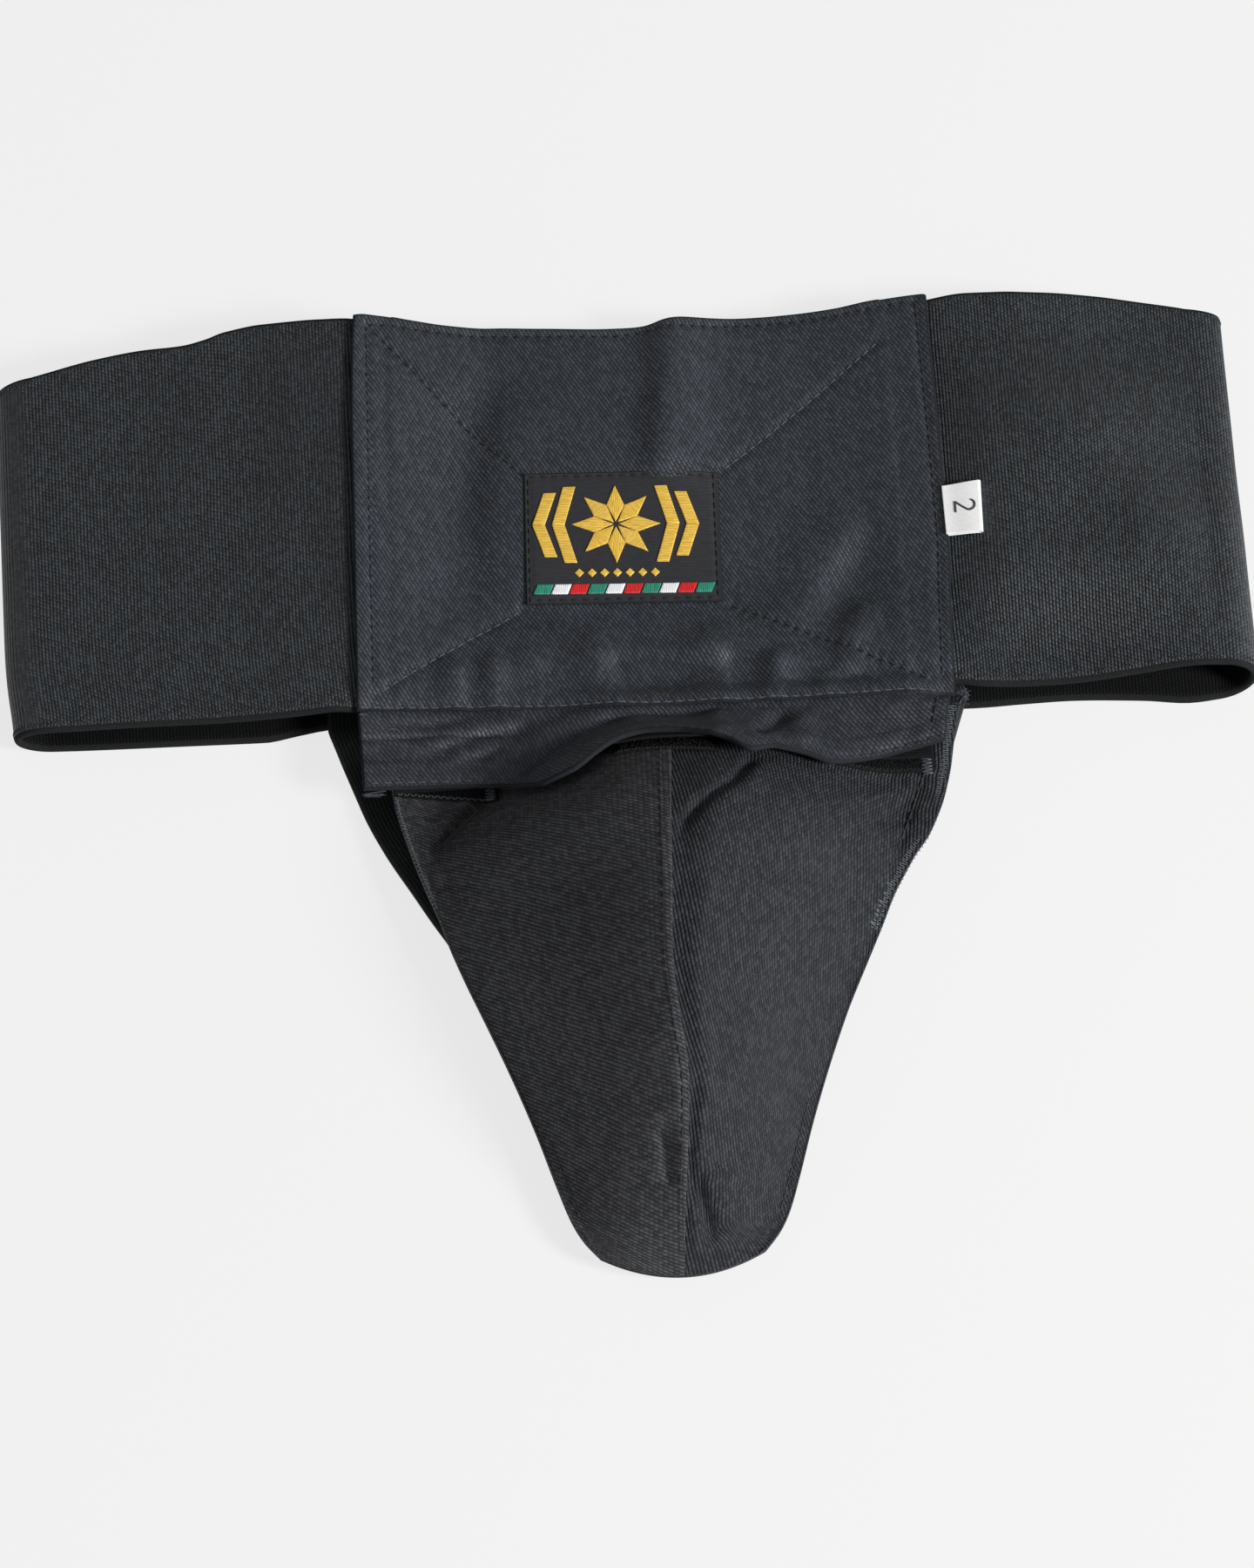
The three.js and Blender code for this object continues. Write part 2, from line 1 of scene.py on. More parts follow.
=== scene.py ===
"""A groin protector lying on its back, dressed around its CAD frame.

The waistband is a loop of wide elastic folded flat, with a twill panel sewn on its front. Below the panel
hang a domed pouch of two twill panels, a closure flap over the pouch's mouth and two leg straps of elastic.
Shapes are worked out in millimetres, in the part's own frame, and turned into metres when a mesh is made.
"""
import math

import bpy
import numpy as np
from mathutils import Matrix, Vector


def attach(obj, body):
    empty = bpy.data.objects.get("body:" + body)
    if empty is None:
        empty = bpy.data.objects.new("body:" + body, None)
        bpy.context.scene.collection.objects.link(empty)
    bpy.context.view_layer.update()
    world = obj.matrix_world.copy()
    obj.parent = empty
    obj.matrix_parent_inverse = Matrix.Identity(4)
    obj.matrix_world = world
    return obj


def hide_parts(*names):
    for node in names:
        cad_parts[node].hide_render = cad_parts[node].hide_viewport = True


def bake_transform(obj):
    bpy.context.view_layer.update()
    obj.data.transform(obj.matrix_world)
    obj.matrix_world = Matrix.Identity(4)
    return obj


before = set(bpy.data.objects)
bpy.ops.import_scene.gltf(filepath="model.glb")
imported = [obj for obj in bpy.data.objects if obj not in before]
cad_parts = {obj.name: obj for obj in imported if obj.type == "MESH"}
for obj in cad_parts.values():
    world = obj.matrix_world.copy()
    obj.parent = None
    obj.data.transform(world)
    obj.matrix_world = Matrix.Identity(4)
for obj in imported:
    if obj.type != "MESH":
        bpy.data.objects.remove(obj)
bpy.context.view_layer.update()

MM = 0.001
GAP = 0.3

# Waistband elastic
WAIST_WIDTH = 297
BAND_HEIGHT = 110
BAND_THICK = 2.2
LOOP_GAP = 8.6
PANEL_OFFSET = 7
FOLD_REACH = 8
FOLD_FLARE = 1.7
FOLD_TUCK = 1.5
LEFT_HOLLOW = 0.48
LEFT_HOLLOW_PLACE = 31.6
LEFT_HOLLOW_RUN = 16

# Front panel, flap and patches
PANEL_WIDTH = 139
PANEL_THICK = 1.2
PANEL_DROP = 2.3
FLAP_HEIGHT = 19
FLAP_WIDTH = 135
FLAP_THICK = 1.2
FLAP_CURL = 1.6
FLAP_SETTLE = 4.2
PATCH_WIDTH = 24
PATCH_HEIGHT = 13
PATCH_THICK = 0.9
PATCH_START = 1.2
PATCH_RIGHT_INSET = 3
PRESSED = 0.3  # how much thinner elastic and tape are made than the CAD's

# Pouch, liner and leg straps
CLOTH_THICK = 0.7
POUCH_TOP_HALF = 64
POUCH_LENGTH = 135
MOUTH_DROP = 6.5
POUCH_CROWN = 36
POUCH_LEAN = -4
SEAM_MARGIN = 3.5
TIP_ROUND = 5
LEFT_DROOP = 2.4
RIGHT_RAISE = 2.5
LINER_OVERLAP = 9
STRAP_WIDTH = 30
STRAP_THICK = 1.6
STRAP_OVERLAP = 12
STRAP_OUTER = 75
STRAP_TIP_OUTER = 18
STRAP_TIP_DROP = 8
STRAP_RAMP = 9

# Edges and levels worked out from the sizes above
BAND_LOW = -BAND_HEIGHT / 2
BAND_INNER = BAND_THICK + LOOP_GAP
BAND_OUTER = BAND_INNER + BAND_THICK
BAND_MIDDLE_X = -PANEL_OFFSET
PANEL_UNDER = BAND_OUTER + GAP
PANEL_TOP = PANEL_UNDER + PANEL_THICK
SEAM_Y = BAND_LOW - PANEL_DROP
MOUTH_Y = BAND_LOW - MOUTH_DROP
TIP_Y = MOUTH_Y - POUCH_LENGTH
LINER_TOP = BAND_INNER - GAP
LINER_TIP = 2 * STRAP_THICK + 2 * GAP + CLOTH_THICK
PATCH_STACK = 2 * (PATCH_THICK + GAP)
STRAP_TIP_Y = TIP_Y + STRAP_TIP_DROP
PATCH_PLACES = {
    "left": PATCH_WIDTH / 2 - POUCH_TOP_HALF,
    "centre": -1,
    "right": POUCH_TOP_HALF - PATCH_WIDTH / 2 - PATCH_RIGHT_INSET,
}

STITCH_PITCH = 2.7
STITCH_LENGTH = 2.1
THREAD_RADIUS = 0.17


# Plain curves
def clamp01(x):
    return np.clip(x, 0, 1)


def lerp(a, b, t):
    return a + (b - a) * t


def smooth(x):
    t = clamp01(x)
    return t * t * (3 - 2 * t)


def bell(x, spread):
    return np.exp(-((x / spread) ** 2))


def profile(*pairs):
    """A smooth curve through given (place, value) pairs, without overshoot."""
    places, values = np.array(pairs, float).T
    runs = np.diff(places)
    slopes = np.diff(values) / runs
    before, after = slopes[:-1], slopes[1:]
    same = before * after > 0
    inner = np.where(same, 2 * before * after / np.where(same, before + after, 1), 0)
    tangents = np.concatenate([slopes[:1], inner, slopes[-1:]])

    def at(x):
        x = np.clip(x, places[0], places[-1])
        i = np.clip(np.searchsorted(places, x, side="right") - 1, 0, len(runs) - 1)
        run = runs[i]
        t = (x - places[i]) / run
        rise = (values[i + 1] - values[i]) * t * t * (3 - 2 * t)
        return values[i] + rise + run * t * (1 - t) * (tangents[i] * (1 - t) - tangents[i + 1] * t)

    return at


def nearest_on(line, x, y):
    """Distance to a line of straight pieces, below 0 on its left, the place along it and its length."""
    line = np.array(line, float)
    best = np.full(np.shape(x), 1e9)
    signed, place = np.zeros(np.shape(x)), np.zeros(np.shape(x))
    done = 0.0
    for start, end in zip(line[:-1], line[1:]):
        run = end - start
        length = float(np.hypot(*run))
        ahead = run / length
        t = np.clip((x - start[0]) * ahead[0] + (y - start[1]) * ahead[1], 0, length)
        dx, dy = x - start[0] - t * ahead[0], y - start[1] - t * ahead[1]
        away = np.hypot(dx, dy)
        closer = away < best
        side = np.sign(dx * ahead[1] - dy * ahead[0])
        best = np.where(closer, away, best)
        signed = np.where(closer, away * side, signed)
        place = np.where(closer, done + t, place)
        done += length
    return signed, place, done


def creased(x, y, folds):
    """The sum of ridges, or of valleys where a height is below 0, along lines.

    Each fold has a line, a height, its widths on the left and right, and the shares that fade at both ends.
    """
    total = 0 * x
    for line, height, left, right, fade in folds:
        away, place, length = nearest_on(line, x, y)
        share = place / length
        ends = [smooth(part / run) if run else 1 for part, run in zip((share, 1 - share), fade)]
        total = total + height * bell(away, np.where(away > 0, right, left)) * (ends[0] * ends[1])
    return total


def sewn(x, y, line, depth=0.3, width=0.8):
    """How far the cloth is pulled in along a row of stitches, deepest at the holes."""
    away, place, _ = nearest_on(line, x, y)
    hole = np.cos(math.pi * place / STITCH_PITCH) ** 4
    return -depth * bell(away, width) * (0.45 + 0.55 * hole)


# Shape of the waistband. Across is 0 at the elastic's lower edge and 1 at the upper.
def fold_x(side, across):
    half = WAIST_WIDTH / 2 - FOLD_REACH - BAND_THICK / 2
    tuck = FOLD_TUCK * bell(across, 0.13) if side < 0 else 0
    return BAND_MIDDLE_X + side * (half + FOLD_FLARE * (2 * across - 1) - tuck)


band_top_at = profile(
    (-156, 40), (-146, 42.8), (-132, 46.6), (-120, 48.6), (-111, 49.2), (-105.5, 50.4), (-101, 52.2),
    (-92, 53.7), (-82, 53.6), (-71, 52.8), (-50, 50.4), (-20, 48.5), (20, 48.8), (50, 50.6), (71, 52.8),
    (80, 53.4), (92, 53.3), (102, 53.4), (112, 53.1), (122, 52.2), (131, 51), (138, 49.4), (142, 47.4),
)
band_low_front = profile(
    (-156, -54.5), (-145, -55.9), (-120, -55.6), (-88, -55.4), (-72, -54.8), (0, -54.8), (68, -54.9),
    (75, -55.8), (98, -55.5), (122, -54.7), (134, -54.8), (142, -54.2),
)
band_low_back = profile(
    (-156, -52.5), (-148, -54.8), (-130, -55.2), (-110, -55.3), (-94, -55.4), (-86, -54), (-78, -52.8),
    (0, -53), (74, -55.4), (84, -55), (95, -54.7), (113, -55.6), (124, -56.8), (133, -55.8), (142, -53),
)


# Height of the front half over its plain level, along four rows that run across the band
FRONT_ROWS = (
    (46, profile(
        (-156, 0), (-110, 0.5), (-78, 2.9), (-71, 3.6), (-62, 1.4), (-48, -2.4), (-36, -4.8), (-16, -4.6),
        (10, -5), (24, -5.6), (38, -5), (54, -2.8), (66, -0.9), (80, 1.2), (88, 1.2), (98, 0),
        (110, -2.2), (126, -5), (142, -6.6),
    )),
    (8, profile(
        (-156, 0), (-110, 0.3), (-78, 3.4), (-71, 4.3), (-62, 1.4), (-48, -3.4), (-42, -3.9), (-20, -3.7),
        (4, -4), (24, -5.6), (36, -5.4), (48, -3.6), (60, -1.4), (70, 0), (84, 4.6), (95, 5.9),
        (104, 5.2), (120, 0.8), (132, -3.2), (142, -6),
    )),
    (-22, profile(
        (-156, 0), (-110, 0.3), (-78, 2.9), (-71, 3.8), (-62, 1.5), (-50, -2.3), (-40, -3.5), (-10, -4.4),
        (20, -4.9), (38, -5), (50, -3.8), (60, -1.8), (70, -0.6), (84, 3.6), (95, 4.2), (104, 4.6),
        (115, 5.6), (122, 4.8), (132, 1.2), (142, -1.8),
    )),
    (-50, profile(
        (-156, 0), (-110, 0.3), (-78, 1.8), (-71, 2.2), (-60, 0.9), (-50, -0.2), (-40, -0.6), (-10, -0.9),
        (20, -0.9), (40, -0.5), (60, 1), (66, 1.3), (84, -0.8), (92, -0.9), (110, 1.2), (126, 3.7),
        (133, 3.1), (142, 0.7),
    )),
)


HELD_HALF = 71  # half the width over which the flap's seam holds the front level


def sag(x, y):
    """How far the front half bulges or sags between its folds. It is held level along the flap's seam."""
    total = FRONT_ROWS[0][1](x)
    for (above, _), (below, row) in zip(FRONT_ROWS[:-1], FRONT_ROWS[1:]):
        total = lerp(total, row(x), smooth((above - y) / (above - below)))
    held = 1 - smooth((np.abs(x + 1) - HELD_HALF) / 6)
    return total * lerp(1, smooth((y + 58) / 9), held)


ELASTIC_WAVES = [
    ([(-104, 60), (-106, 20), (-100, -20)], 0.7, 7, 7, (0, 0.5)),
    ([(-84, 30), (-80, -10), (-79, -40)], -0.5, 5, 5, (0.4, 0.3)),
    ([(-122, 48), (-126, 10), (-124, -40)], -0.4, 8, 8, (0.1, 0.5)),
]


def elastic_waves(x, y):
    return creased(x, y, ELASTIC_WAVES) * smooth((np.abs(x) - PANEL_WIDTH / 2) / 8)


def band_front_level(x, y):
    """Middle of the elastic's front half, drawn in with the panel's valleys and hollow left of the panel."""
    from_panel = -x - PANEL_WIDTH / 2
    hollow = LEFT_HOLLOW * bell(from_panel - LEFT_HOLLOW_PLACE, LEFT_HOLLOW_RUN) * smooth(from_panel / 10)
    under_panel = smooth((y + 40) / 8) * smooth((70 - np.abs(x + 1)) / 4)
    drawn_in = np.minimum(panel_fold(x, y), 0) * FOLD_STRENGTH * under_panel
    return BAND_INNER + BAND_THICK / 2 - hollow + sag(x, y) + elastic_waves(x, y) + drawn_in


BACK_STEPS, FOLD_STEPS, FRONT_STEPS = 120, 26, 240
AROUND_STEPS = BACK_STEPS + 2 * FOLD_STEPS + FRONT_STEPS


def waistband_middle(place, high):
    """Points of the loop's middle. Place runs once round in steps, high is mm above the lower edge."""
    across = high / BAND_HEIGHT
    left, right = fold_x(-1, across), fold_x(1, across)
    past_back = place - BACK_STEPS
    past_right = past_back - FOLD_STEPS
    past_front = past_right - FRONT_STEPS
    runs = [past_back < 0, past_right < 0, past_front < 0]
    x_back, x_front = lerp(left, right, place / BACK_STEPS), lerp(right, left, past_right / FRONT_STEPS)
    x_flat = np.select(runs, [x_back, right, x_front], left)
    turn = math.pi * np.select(runs, [0, past_back / FOLD_STEPS, 1], 1 - past_front / FOLD_STEPS)
    reach = np.where(past_right < 0, FOLD_REACH, -FOLD_REACH) * np.sin(turn)
    raised = (1 - np.cos(turn)) / 2
    x_edge = x_flat + reach * 0.6
    low = lerp(band_low_back(x_edge), band_low_front(x_edge), raised)
    y = lerp(low, band_top_at(x_edge), across)
    z = lerp(BAND_THICK / 2, band_front_level(x_flat, y), raised)
    return np.stack([x_flat + reach, y, z], -1)


# Shape of the pouch. Along is 0 at its mouth and 1 at its tip, across -1 at its left and 1 at its right edge.
half_width_share = profile(
    (0, 1.02), (0.11, 0.985), (0.22, 0.915), (0.3, 0.853), (0.36, 0.803), (0.41, 0.768), (0.47, 0.72),
    (0.57, 0.635), (0.67, 0.556), (0.77, 0.485), (0.87, 0.422), (0.93, 0.38), (0.965, 0.343), (1, 0.285),
)
crown_share = profile(
    (0, 0.05), (0.045, 0.19), (0.09, 0.36), (0.12, 0.45), (0.24, 0.77), (0.38, 0.95), (0.5, 1),
    (0.65, 0.93), (0.78, 0.74), (0.88, 0.5), (0.95, 0.25), (1, 0),
)
left_reach = profile((0, 0.6), (0.12, 0.72), (0.18, 0.86), (0.26, 0.98), (0.34, 1))
right_reach = profile((0, 0.8), (0.12, 0.92), (0.24, 1))


def along_at(y):
    return (MOUTH_Y - y) / POUCH_LENGTH


def pouch_half(along):
    return POUCH_TOP_HALF * half_width_share(along)


def axis_x(along):
    return POUCH_LEAN * np.sin(math.pi / 2 * clamp01(along / 0.6))


def across_at(x, along):
    return (x - axis_x(along)) / pouch_half(along)


def liner_level(x, y):
    along = along_at(y)
    left = -LEFT_DROOP * smooth(-x / POUCH_TOP_HALF)
    right = RIGHT_RAISE * smooth(x / POUCH_TOP_HALF)
    tilted = smooth((y - BAND_LOW) / (MOUTH_Y - BAND_LOW)) * (1 - smooth((along - 0.1) / 0.3))
    return lerp(LINER_TOP, LINER_TIP, clamp01(along)) + np.where(x < 0, left, right) * tilted


def dome_share(along, across):
    reach = np.where(across < 0, left_reach(along), right_reach(along))
    out = clamp01(np.abs(across) / (reach * (1 - SEAM_MARGIN / pouch_half(along))))
    roundness = lerp(2.3, 1.4, smooth((along - 0.12) / 0.25))
    return crown_share(along) * (1 - out**roundness) ** lerp(2, 1.1, smooth(along / 0.32))


def pouch_top_at(x, y):
    y = np.minimum(y, MOUTH_Y)
    along = along_at(y)
    return liner_level(x, y) + GAP + CLOTH_THICK + POUCH_CROWN * dome_share(along, across_at(x, along))


def seam_point(along, across):
    x = axis_x(along) + across * pouch_half(along)
    return x, MOUTH_Y - along * (POUCH_LENGTH - TIP_ROUND * across * across)


# The row of stitches that joins panel and flap, and how far the pouch lifts it
seam_row = profile(
    (-72, -54.6), (-50, -55.9), (-34, -56.4), (-23, -56.9), (-12, -58), (4, -58.7), (26, -58.8),
    (48, -58.4), (66, -57.9),
)
SEAM_MARGIN_BELOW = 0.9
SEAM_LIFT = 2.8


def seam_lift(x):
    return SEAM_LIFT * smooth((x + 28) / 22) * (1 - smooth((x - 57) / 10))


def flap_under(x, y):
    curl = FLAP_CURL * bell(x, 22) * smooth((SEAM_Y - y - FLAP_SETTLE) / FLAP_HEIGHT)
    rest = pouch_top_at(x, y) + PATCH_STACK + GAP + curl
    down = seam_row(x) - SEAM_MARGIN_BELOW - y
    run = 3.4 + 2 * smooth((10 - x) / 40) + 5 * smooth((-26 - x) / 26)
    return lerp(PANEL_TOP - FLAP_THICK + seam_lift(x), rest, smooth(down / run))


def y_after(level, x, start, lengths):
    """The y at which a cloth laid down a surface from start has used up each length."""
    step = 0.25
    y, used = np.array(start, float) + 0 * x, np.zeros_like(x)
    found = np.array(start, float) + 0 * x
    while np.any(used < lengths):
        piece = np.hypot(step, level(x, y - step) - level(x, y))
        share = clamp01((lengths - used) / piece)
        found = np.where(used < lengths, y - step * share, found)
        used = used + piece
        y = y - step
    return found


# Meshes
RIM_STEPS = 3


def unit(vectors):
    return vectors / np.maximum(np.linalg.norm(vectors, axis=-1, keepdims=True), 1e-9)


def run_lengths(points):
    """The length run along each line of points, at each of its points."""
    steps = np.linalg.norm(np.diff(points, axis=-2), axis=-1)
    return np.concatenate([np.zeros((*steps.shape[:-1], 1)), np.cumsum(steps, -1)], -1)


def quads(grid):
    """The corners of each square of a grid of numbers."""
    return np.stack([grid[..., :-1, :-1], grid[..., :-1, 1:], grid[..., 1:, 1:], grid[..., 1:, :-1]], -1)


def fan(tip, ring):
    """The triangles between a tip and each step of a closed ring."""
    tips = np.broadcast_to(np.asarray(tip)[..., None], ring[..., 1:].shape)
    return np.stack([tips, ring[..., :-1], ring[..., 1:]], -1).reshape(-1, 3)


def placed(name, data, place=None, target=None):
    """A new object in the scene, put in its place and turned to a target if they are given."""
    thing = bpy.data.objects.new(name, data)
    if place:
        thing.location = place
        thing.rotation_euler = (Vector(target) - Vector(place)).to_track_quat("-Z", "Y").to_euler()
    bpy.context.scene.collection.objects.link(thing)
    return thing


def new_mesh(name, points, faces, looks, marks=None):
    """A mesh object from points in mm. Faces and marks are lists of blocks, looks one material or a list."""
    mesh = bpy.data.meshes.new(name)
    mesh.from_pydata((points * MM).tolist(), [], [face for block in faces for face in block.tolist()])
    if marks is not None:
        layer = mesh.uv_layers.new(name="UVMap")
        layer.data.foreach_set("uv", np.concatenate([block.ravel() for block in marks]).astype(np.float32))
    mesh.polygons.foreach_set("use_smooth", [True] * len(mesh.polygons))
    looks = looks if isinstance(looks, list) else [looks] * len(faces)
    used = list(dict.fromkeys(looks))
    for look in used:
        mesh.materials.append(look)
    order = [used.index(look) for look, block in zip(looks, faces) for _ in block]
    mesh.polygons.foreach_set("material_index", order)
    mesh.update()
    return placed(name, mesh)


def places(length, step, thick):
    """Places along a side of a cloth, closer together at both ends where its edge is round."""
    rim = thick / 2 * np.array([0, 0.06, 0.3, 1.0, 2.2])
    inner = np.linspace(rim[-1], length - rim[-1], max(3, int(round((length - 2 * rim[-1]) / step)) + 1))
    return np.concatenate([rim[:-1], inner, length - rim[-2::-1]])


def cloth(name, middle, a, b, thick, material, fat=None, loop_end=None, uv=None, rim_look=None):
    """A closed piece of cloth with round edges. middle(a, b) gives the points of its middle surface.

    fat(points, a, b) is extra thickness on its upper side. With loop_end the first side closes into a loop.
    material may be a pair, for the upper and the lower side, and rim_look is the material of the round edges,
    given darker as painted shade.
    uv(points) gives the marks that the materials follow, in place of a and b.
    """
    loop = loop_end is not None
    aa, bb = np.meshgrid(a, b)
    points = middle(aa, bb)
    along_a = np.roll(points, -1, 1) - np.roll(points, 1, 1) if loop else np.gradient(points, axis=1)
    inside = np.minimum(bb - b[0], b[-1] - bb)
    if not loop:
        inside = np.minimum(inside, np.minimum(aa - a[0], a[-1] - aa))
    rim = np.sqrt(np.maximum(0, 1 - (1 - clamp01(inside / (thick / 2))) ** 2))
    out = unit(np.cross(along_a, np.gradient(points, axis=0))) * rim[..., None]
    upper, lower = points + out * thick / 2, points - out * thick / 2
    if fat is not None:
        upper = upper + out * fat(points, aa, bb)[..., None]
    top = np.arange(aa.size).reshape(aa.shape)
    under = top + aa.size
    under[0], under[-1] = top[0], top[-1]
    if not loop:
        under[:, 0], under[:, -1] = top[:, 0], top[:, -1]
    used, again = np.unique(np.stack([top, under]), return_inverse=True)
    every = np.concatenate([upper.reshape(-1, 3), lower.reshape(-1, 3)])[used]
    top, under = again.reshape(2, *aa.shape)
    flat = np.stack([aa, bb], -1) if uv is None else uv(points)
    if loop:
        top, under = (np.concatenate([grid, grid[:, :1]], 1) for grid in (top, under))
        flat = np.concatenate([flat, flat[:, :1] + [loop_end, 0.0]], 1)
    over, below = quads(top), quads(under)[..., ::-1]
    marks = np.stack([quads(flat[..., 0]), quads(flat[..., 1])], -1)
    border = np.zeros(over.shape[:2], bool)
    border[:RIM_STEPS] = border[-RIM_STEPS:] = True
    if not loop:
        border[:, :RIM_STEPS] = border[:, -RIM_STEPS:] = True
    faces = [side[where] for where in (~border, border) for side in (over, below)]
    corners = [side[where] for where in (~border, border) for side in (marks, marks[:, :, ::-1])]
    looks = material if isinstance(material, list) else [material, material]
    return new_mesh(name, every, faces, looks + [rim_look or look for look in looks], corners)


def finished(thing, node, body="garment"):
    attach(thing, body)
    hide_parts(node)


def dressed(name, node, slot, middle, size, steps, thick, material, body="garment", thin=0.0, **more):
    """A cloth that takes the place of a CAD node, thinner than the CAD's by thin."""
    a, b = (places(side, step, thick) for side, step in zip(size, steps))
    made = cloth(name, middle, a, b, thick - thin, material, **more)
    finished(made, node, body)
    return made


UPWARDS = np.array([[0.0, 0.0, 1.0]])


def threads(name, paths, facing, material, radius, taper=1.0, body="garment", sides=6):
    """Round threads. paths is (threads, points, 3), with a direction to face for each thread or for all."""
    count, steps = paths.shape[:2]
    radii = radius * np.broadcast_to(taper, steps)
    ahead = unit(np.gradient(paths, axis=1))
    side = unit(np.cross(ahead, facing[:, None, :]))
    rise = np.cross(side, ahead)
    turn = 2 * math.pi * np.arange(sides) / sides
    ring = np.cos(turn)[:, None] * side[:, :, None, :] + np.sin(turn)[:, None] * rise[:, :, None, :]
    skin = paths[:, :, None, :] + ring * radii[None, :, None, None]
    tips = [paths[:, 0] - ahead[:, 0] * radii[0] * 0.6, paths[:, -1] + ahead[:, -1] * radii[-1] * 0.6]
    index = np.arange(count * steps * sides).reshape(count, steps, sides)
    wrapped = np.concatenate([index, index[:, :, :1]], 2)
    first = index.size + np.arange(count)
    ends = [fan(first, wrapped[:, 0, ::-1]), fan(first + count, wrapped[:, -1])]
    faces = [quads(wrapped).reshape(-1, 4), *ends]
    made = new_mesh(name, np.concatenate([skin.reshape(-1, 3), *tips]), faces, material)
    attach(made, body)
    return made


def line_length(line):
    return float(run_lengths(np.array(line, float))[-1])


def along_line(line, at):
    """Points of a line of straight pieces at the given lengths, and its direction there."""
    line = np.array(line, float)
    ends = run_lengths(line)
    i = np.clip(np.searchsorted(ends, at, side="right") - 1, 0, len(line) - 2)
    ahead = unit(np.diff(line, axis=0))[i]
    return line[i] + ahead * (at - ends[i])[:, None], ahead


def level_normal(level, x, y):
    step = 0.3
    dx = (level(x + step, y) - level(x - step, y)) / (2 * step)
    dy = (level(x, y + step) - level(x, y - step)) / (2 * step)
    return unit(np.stack([-dx, -dy, np.ones_like(dx)], -1))


def alternating(count):
    return np.where(np.arange(count) % 2, 1.0, -1.0)[:, None]


STITCH_SHAPE = np.array([-1, -0.86, -0.4, 0.0, 0.4, 0.86, 1])
STITCH_RISE = THREAD_RADIUS * np.array([-1.9, -0.3, 0.55, 0.7, 0.55, -0.3, -1.9]) - 0.05
STITCH_TAPER = (0.6, 0.9, 1, 1, 1, 0.9, 0.6)


def stitches(name, level, lines, material, body="garment", radius=THREAD_RADIUS, length=STITCH_LENGTH,
             pitch=STITCH_PITCH, zigzag=0.0):
    """One short thread per stitch along lines in x and y, lying on a surface given by its level."""
    paths, facing = [], []
    for line in lines:
        count = max(1, int(line_length(line) / pitch))
        spot, ahead = along_line(line, (np.arange(count) + 0.5) * pitch)
        lean = zigzag * alternating(count) * np.stack([-ahead[:, 1], ahead[:, 0]], -1)
        reach = ahead * length / 2 + lean
        xy = spot[:, None, :] + reach[:, None, :] * STITCH_SHAPE[:, None]
        z = level(xy[..., 0], xy[..., 1]) + STITCH_RISE
        paths.append(np.concatenate([xy, z[..., None]], -1))
        facing.append(level_normal(level, spot[:, 0], spot[:, 1]))
    threads(name, np.concatenate(paths), np.concatenate(facing), material, radius, STITCH_TAPER, body)


# Materials
class Graph:
    """A material's nodes, written as short expressions."""

    def __init__(self, name, roughness, specular=0.25, sheen=0.0):
        self.material = bpy.data.materials.new(name)
        self.material.use_nodes = True
        self.nodes, self.links = self.material.node_tree.nodes, self.material.node_tree.links
        self.shader = self.nodes["Principled BSDF"]
        self.shader.inputs["Roughness"].default_value = roughness
        self.shader.inputs["Specular IOR Level"].default_value = specular
        if sheen:
            self.shader.inputs["Sheen Weight"].default_value = sheen
            self.shader.inputs["Sheen Roughness"].default_value = 0.45

    def put(self, socket, value):
        if isinstance(value, bpy.types.NodeSocket):
            self.links.new(value, socket)
        else:
            socket.default_value = value

    def node(self, kind, output, inputs, **settings):
        """One output of a new node with these inputs, by name or number, and these settings."""
        node = self.nodes.new(kind)
        for name, value in settings.items():
            setattr(node, name, value)
        for name, value in inputs.items():
            self.put(node.inputs[name], value)
        return node.outputs[output]

    def math(self, operation, *values):
        return self.node("ShaderNodeMath", 0, dict(enumerate(values)), operation=operation)

    def add(self, a, b):
        return self.math("ADD", a, b)

    def times(self, a, b):
        return self.math("MULTIPLY", a, b)

    def scaled(self, value, factor, offset):
        return self.add(self.times(value, factor), offset)

    def arch(self, share, power=None):
        """0 at both ends of a share and 1 in its middle, fuller with a power below 1."""
        wave = self.math("SINE", self.times(share, math.pi))
        return self.math("POWER", wave, power) if power else wave

    def turned(self, degrees):
        """Places in mm across and along lines that run at this angle to the cloth's own first side."""
        marks = self.node("ShaderNodeUVMap", 0, {})
        u, v = (self.node("ShaderNodeSeparateXYZ", side, {0: marks}) for side in ("X", "Y"))
        c, s = math.cos(math.radians(degrees)), math.sin(math.radians(degrees))
        across = self.add(self.times(u, -s), self.times(v, c))
        return across, self.add(self.times(u, c), self.times(v, s))

    def noise(self, x, y, scale, detail=2.0, z=0.0):
        place = self.node("ShaderNodeCombineXYZ", 0, {"X": x, "Y": y, "Z": z})
        return self.node("ShaderNodeTexNoise", "Fac", {"Scale": scale, "Detail": detail, "Vector": place})

    def random(self, x, y):
        place = self.node("ShaderNodeCombineXYZ", 0, {"X": x, "Y": y})
        return self.node("ShaderNodeTexWhiteNoise", "Value", {"Vector": place}, noise_dimensions="2D")

    def mixed(self, share, a, b):
        return self.node("ShaderNodeMix", "Result", {"Factor": share, "A": a, "B": b}, data_type="RGBA")

    def dress(self, colour, height, relief):
        """Give the shader its colour, and bumps of a height whose relief is in metres."""
        self.put(self.shader.inputs["Base Color"], colour)
        bump = self.node("ShaderNodeBump", 0, {"Strength": 1.0, "Distance": relief, "Height": height})
        self.put(self.shader.inputs["Normal"], bump)
        return self.material


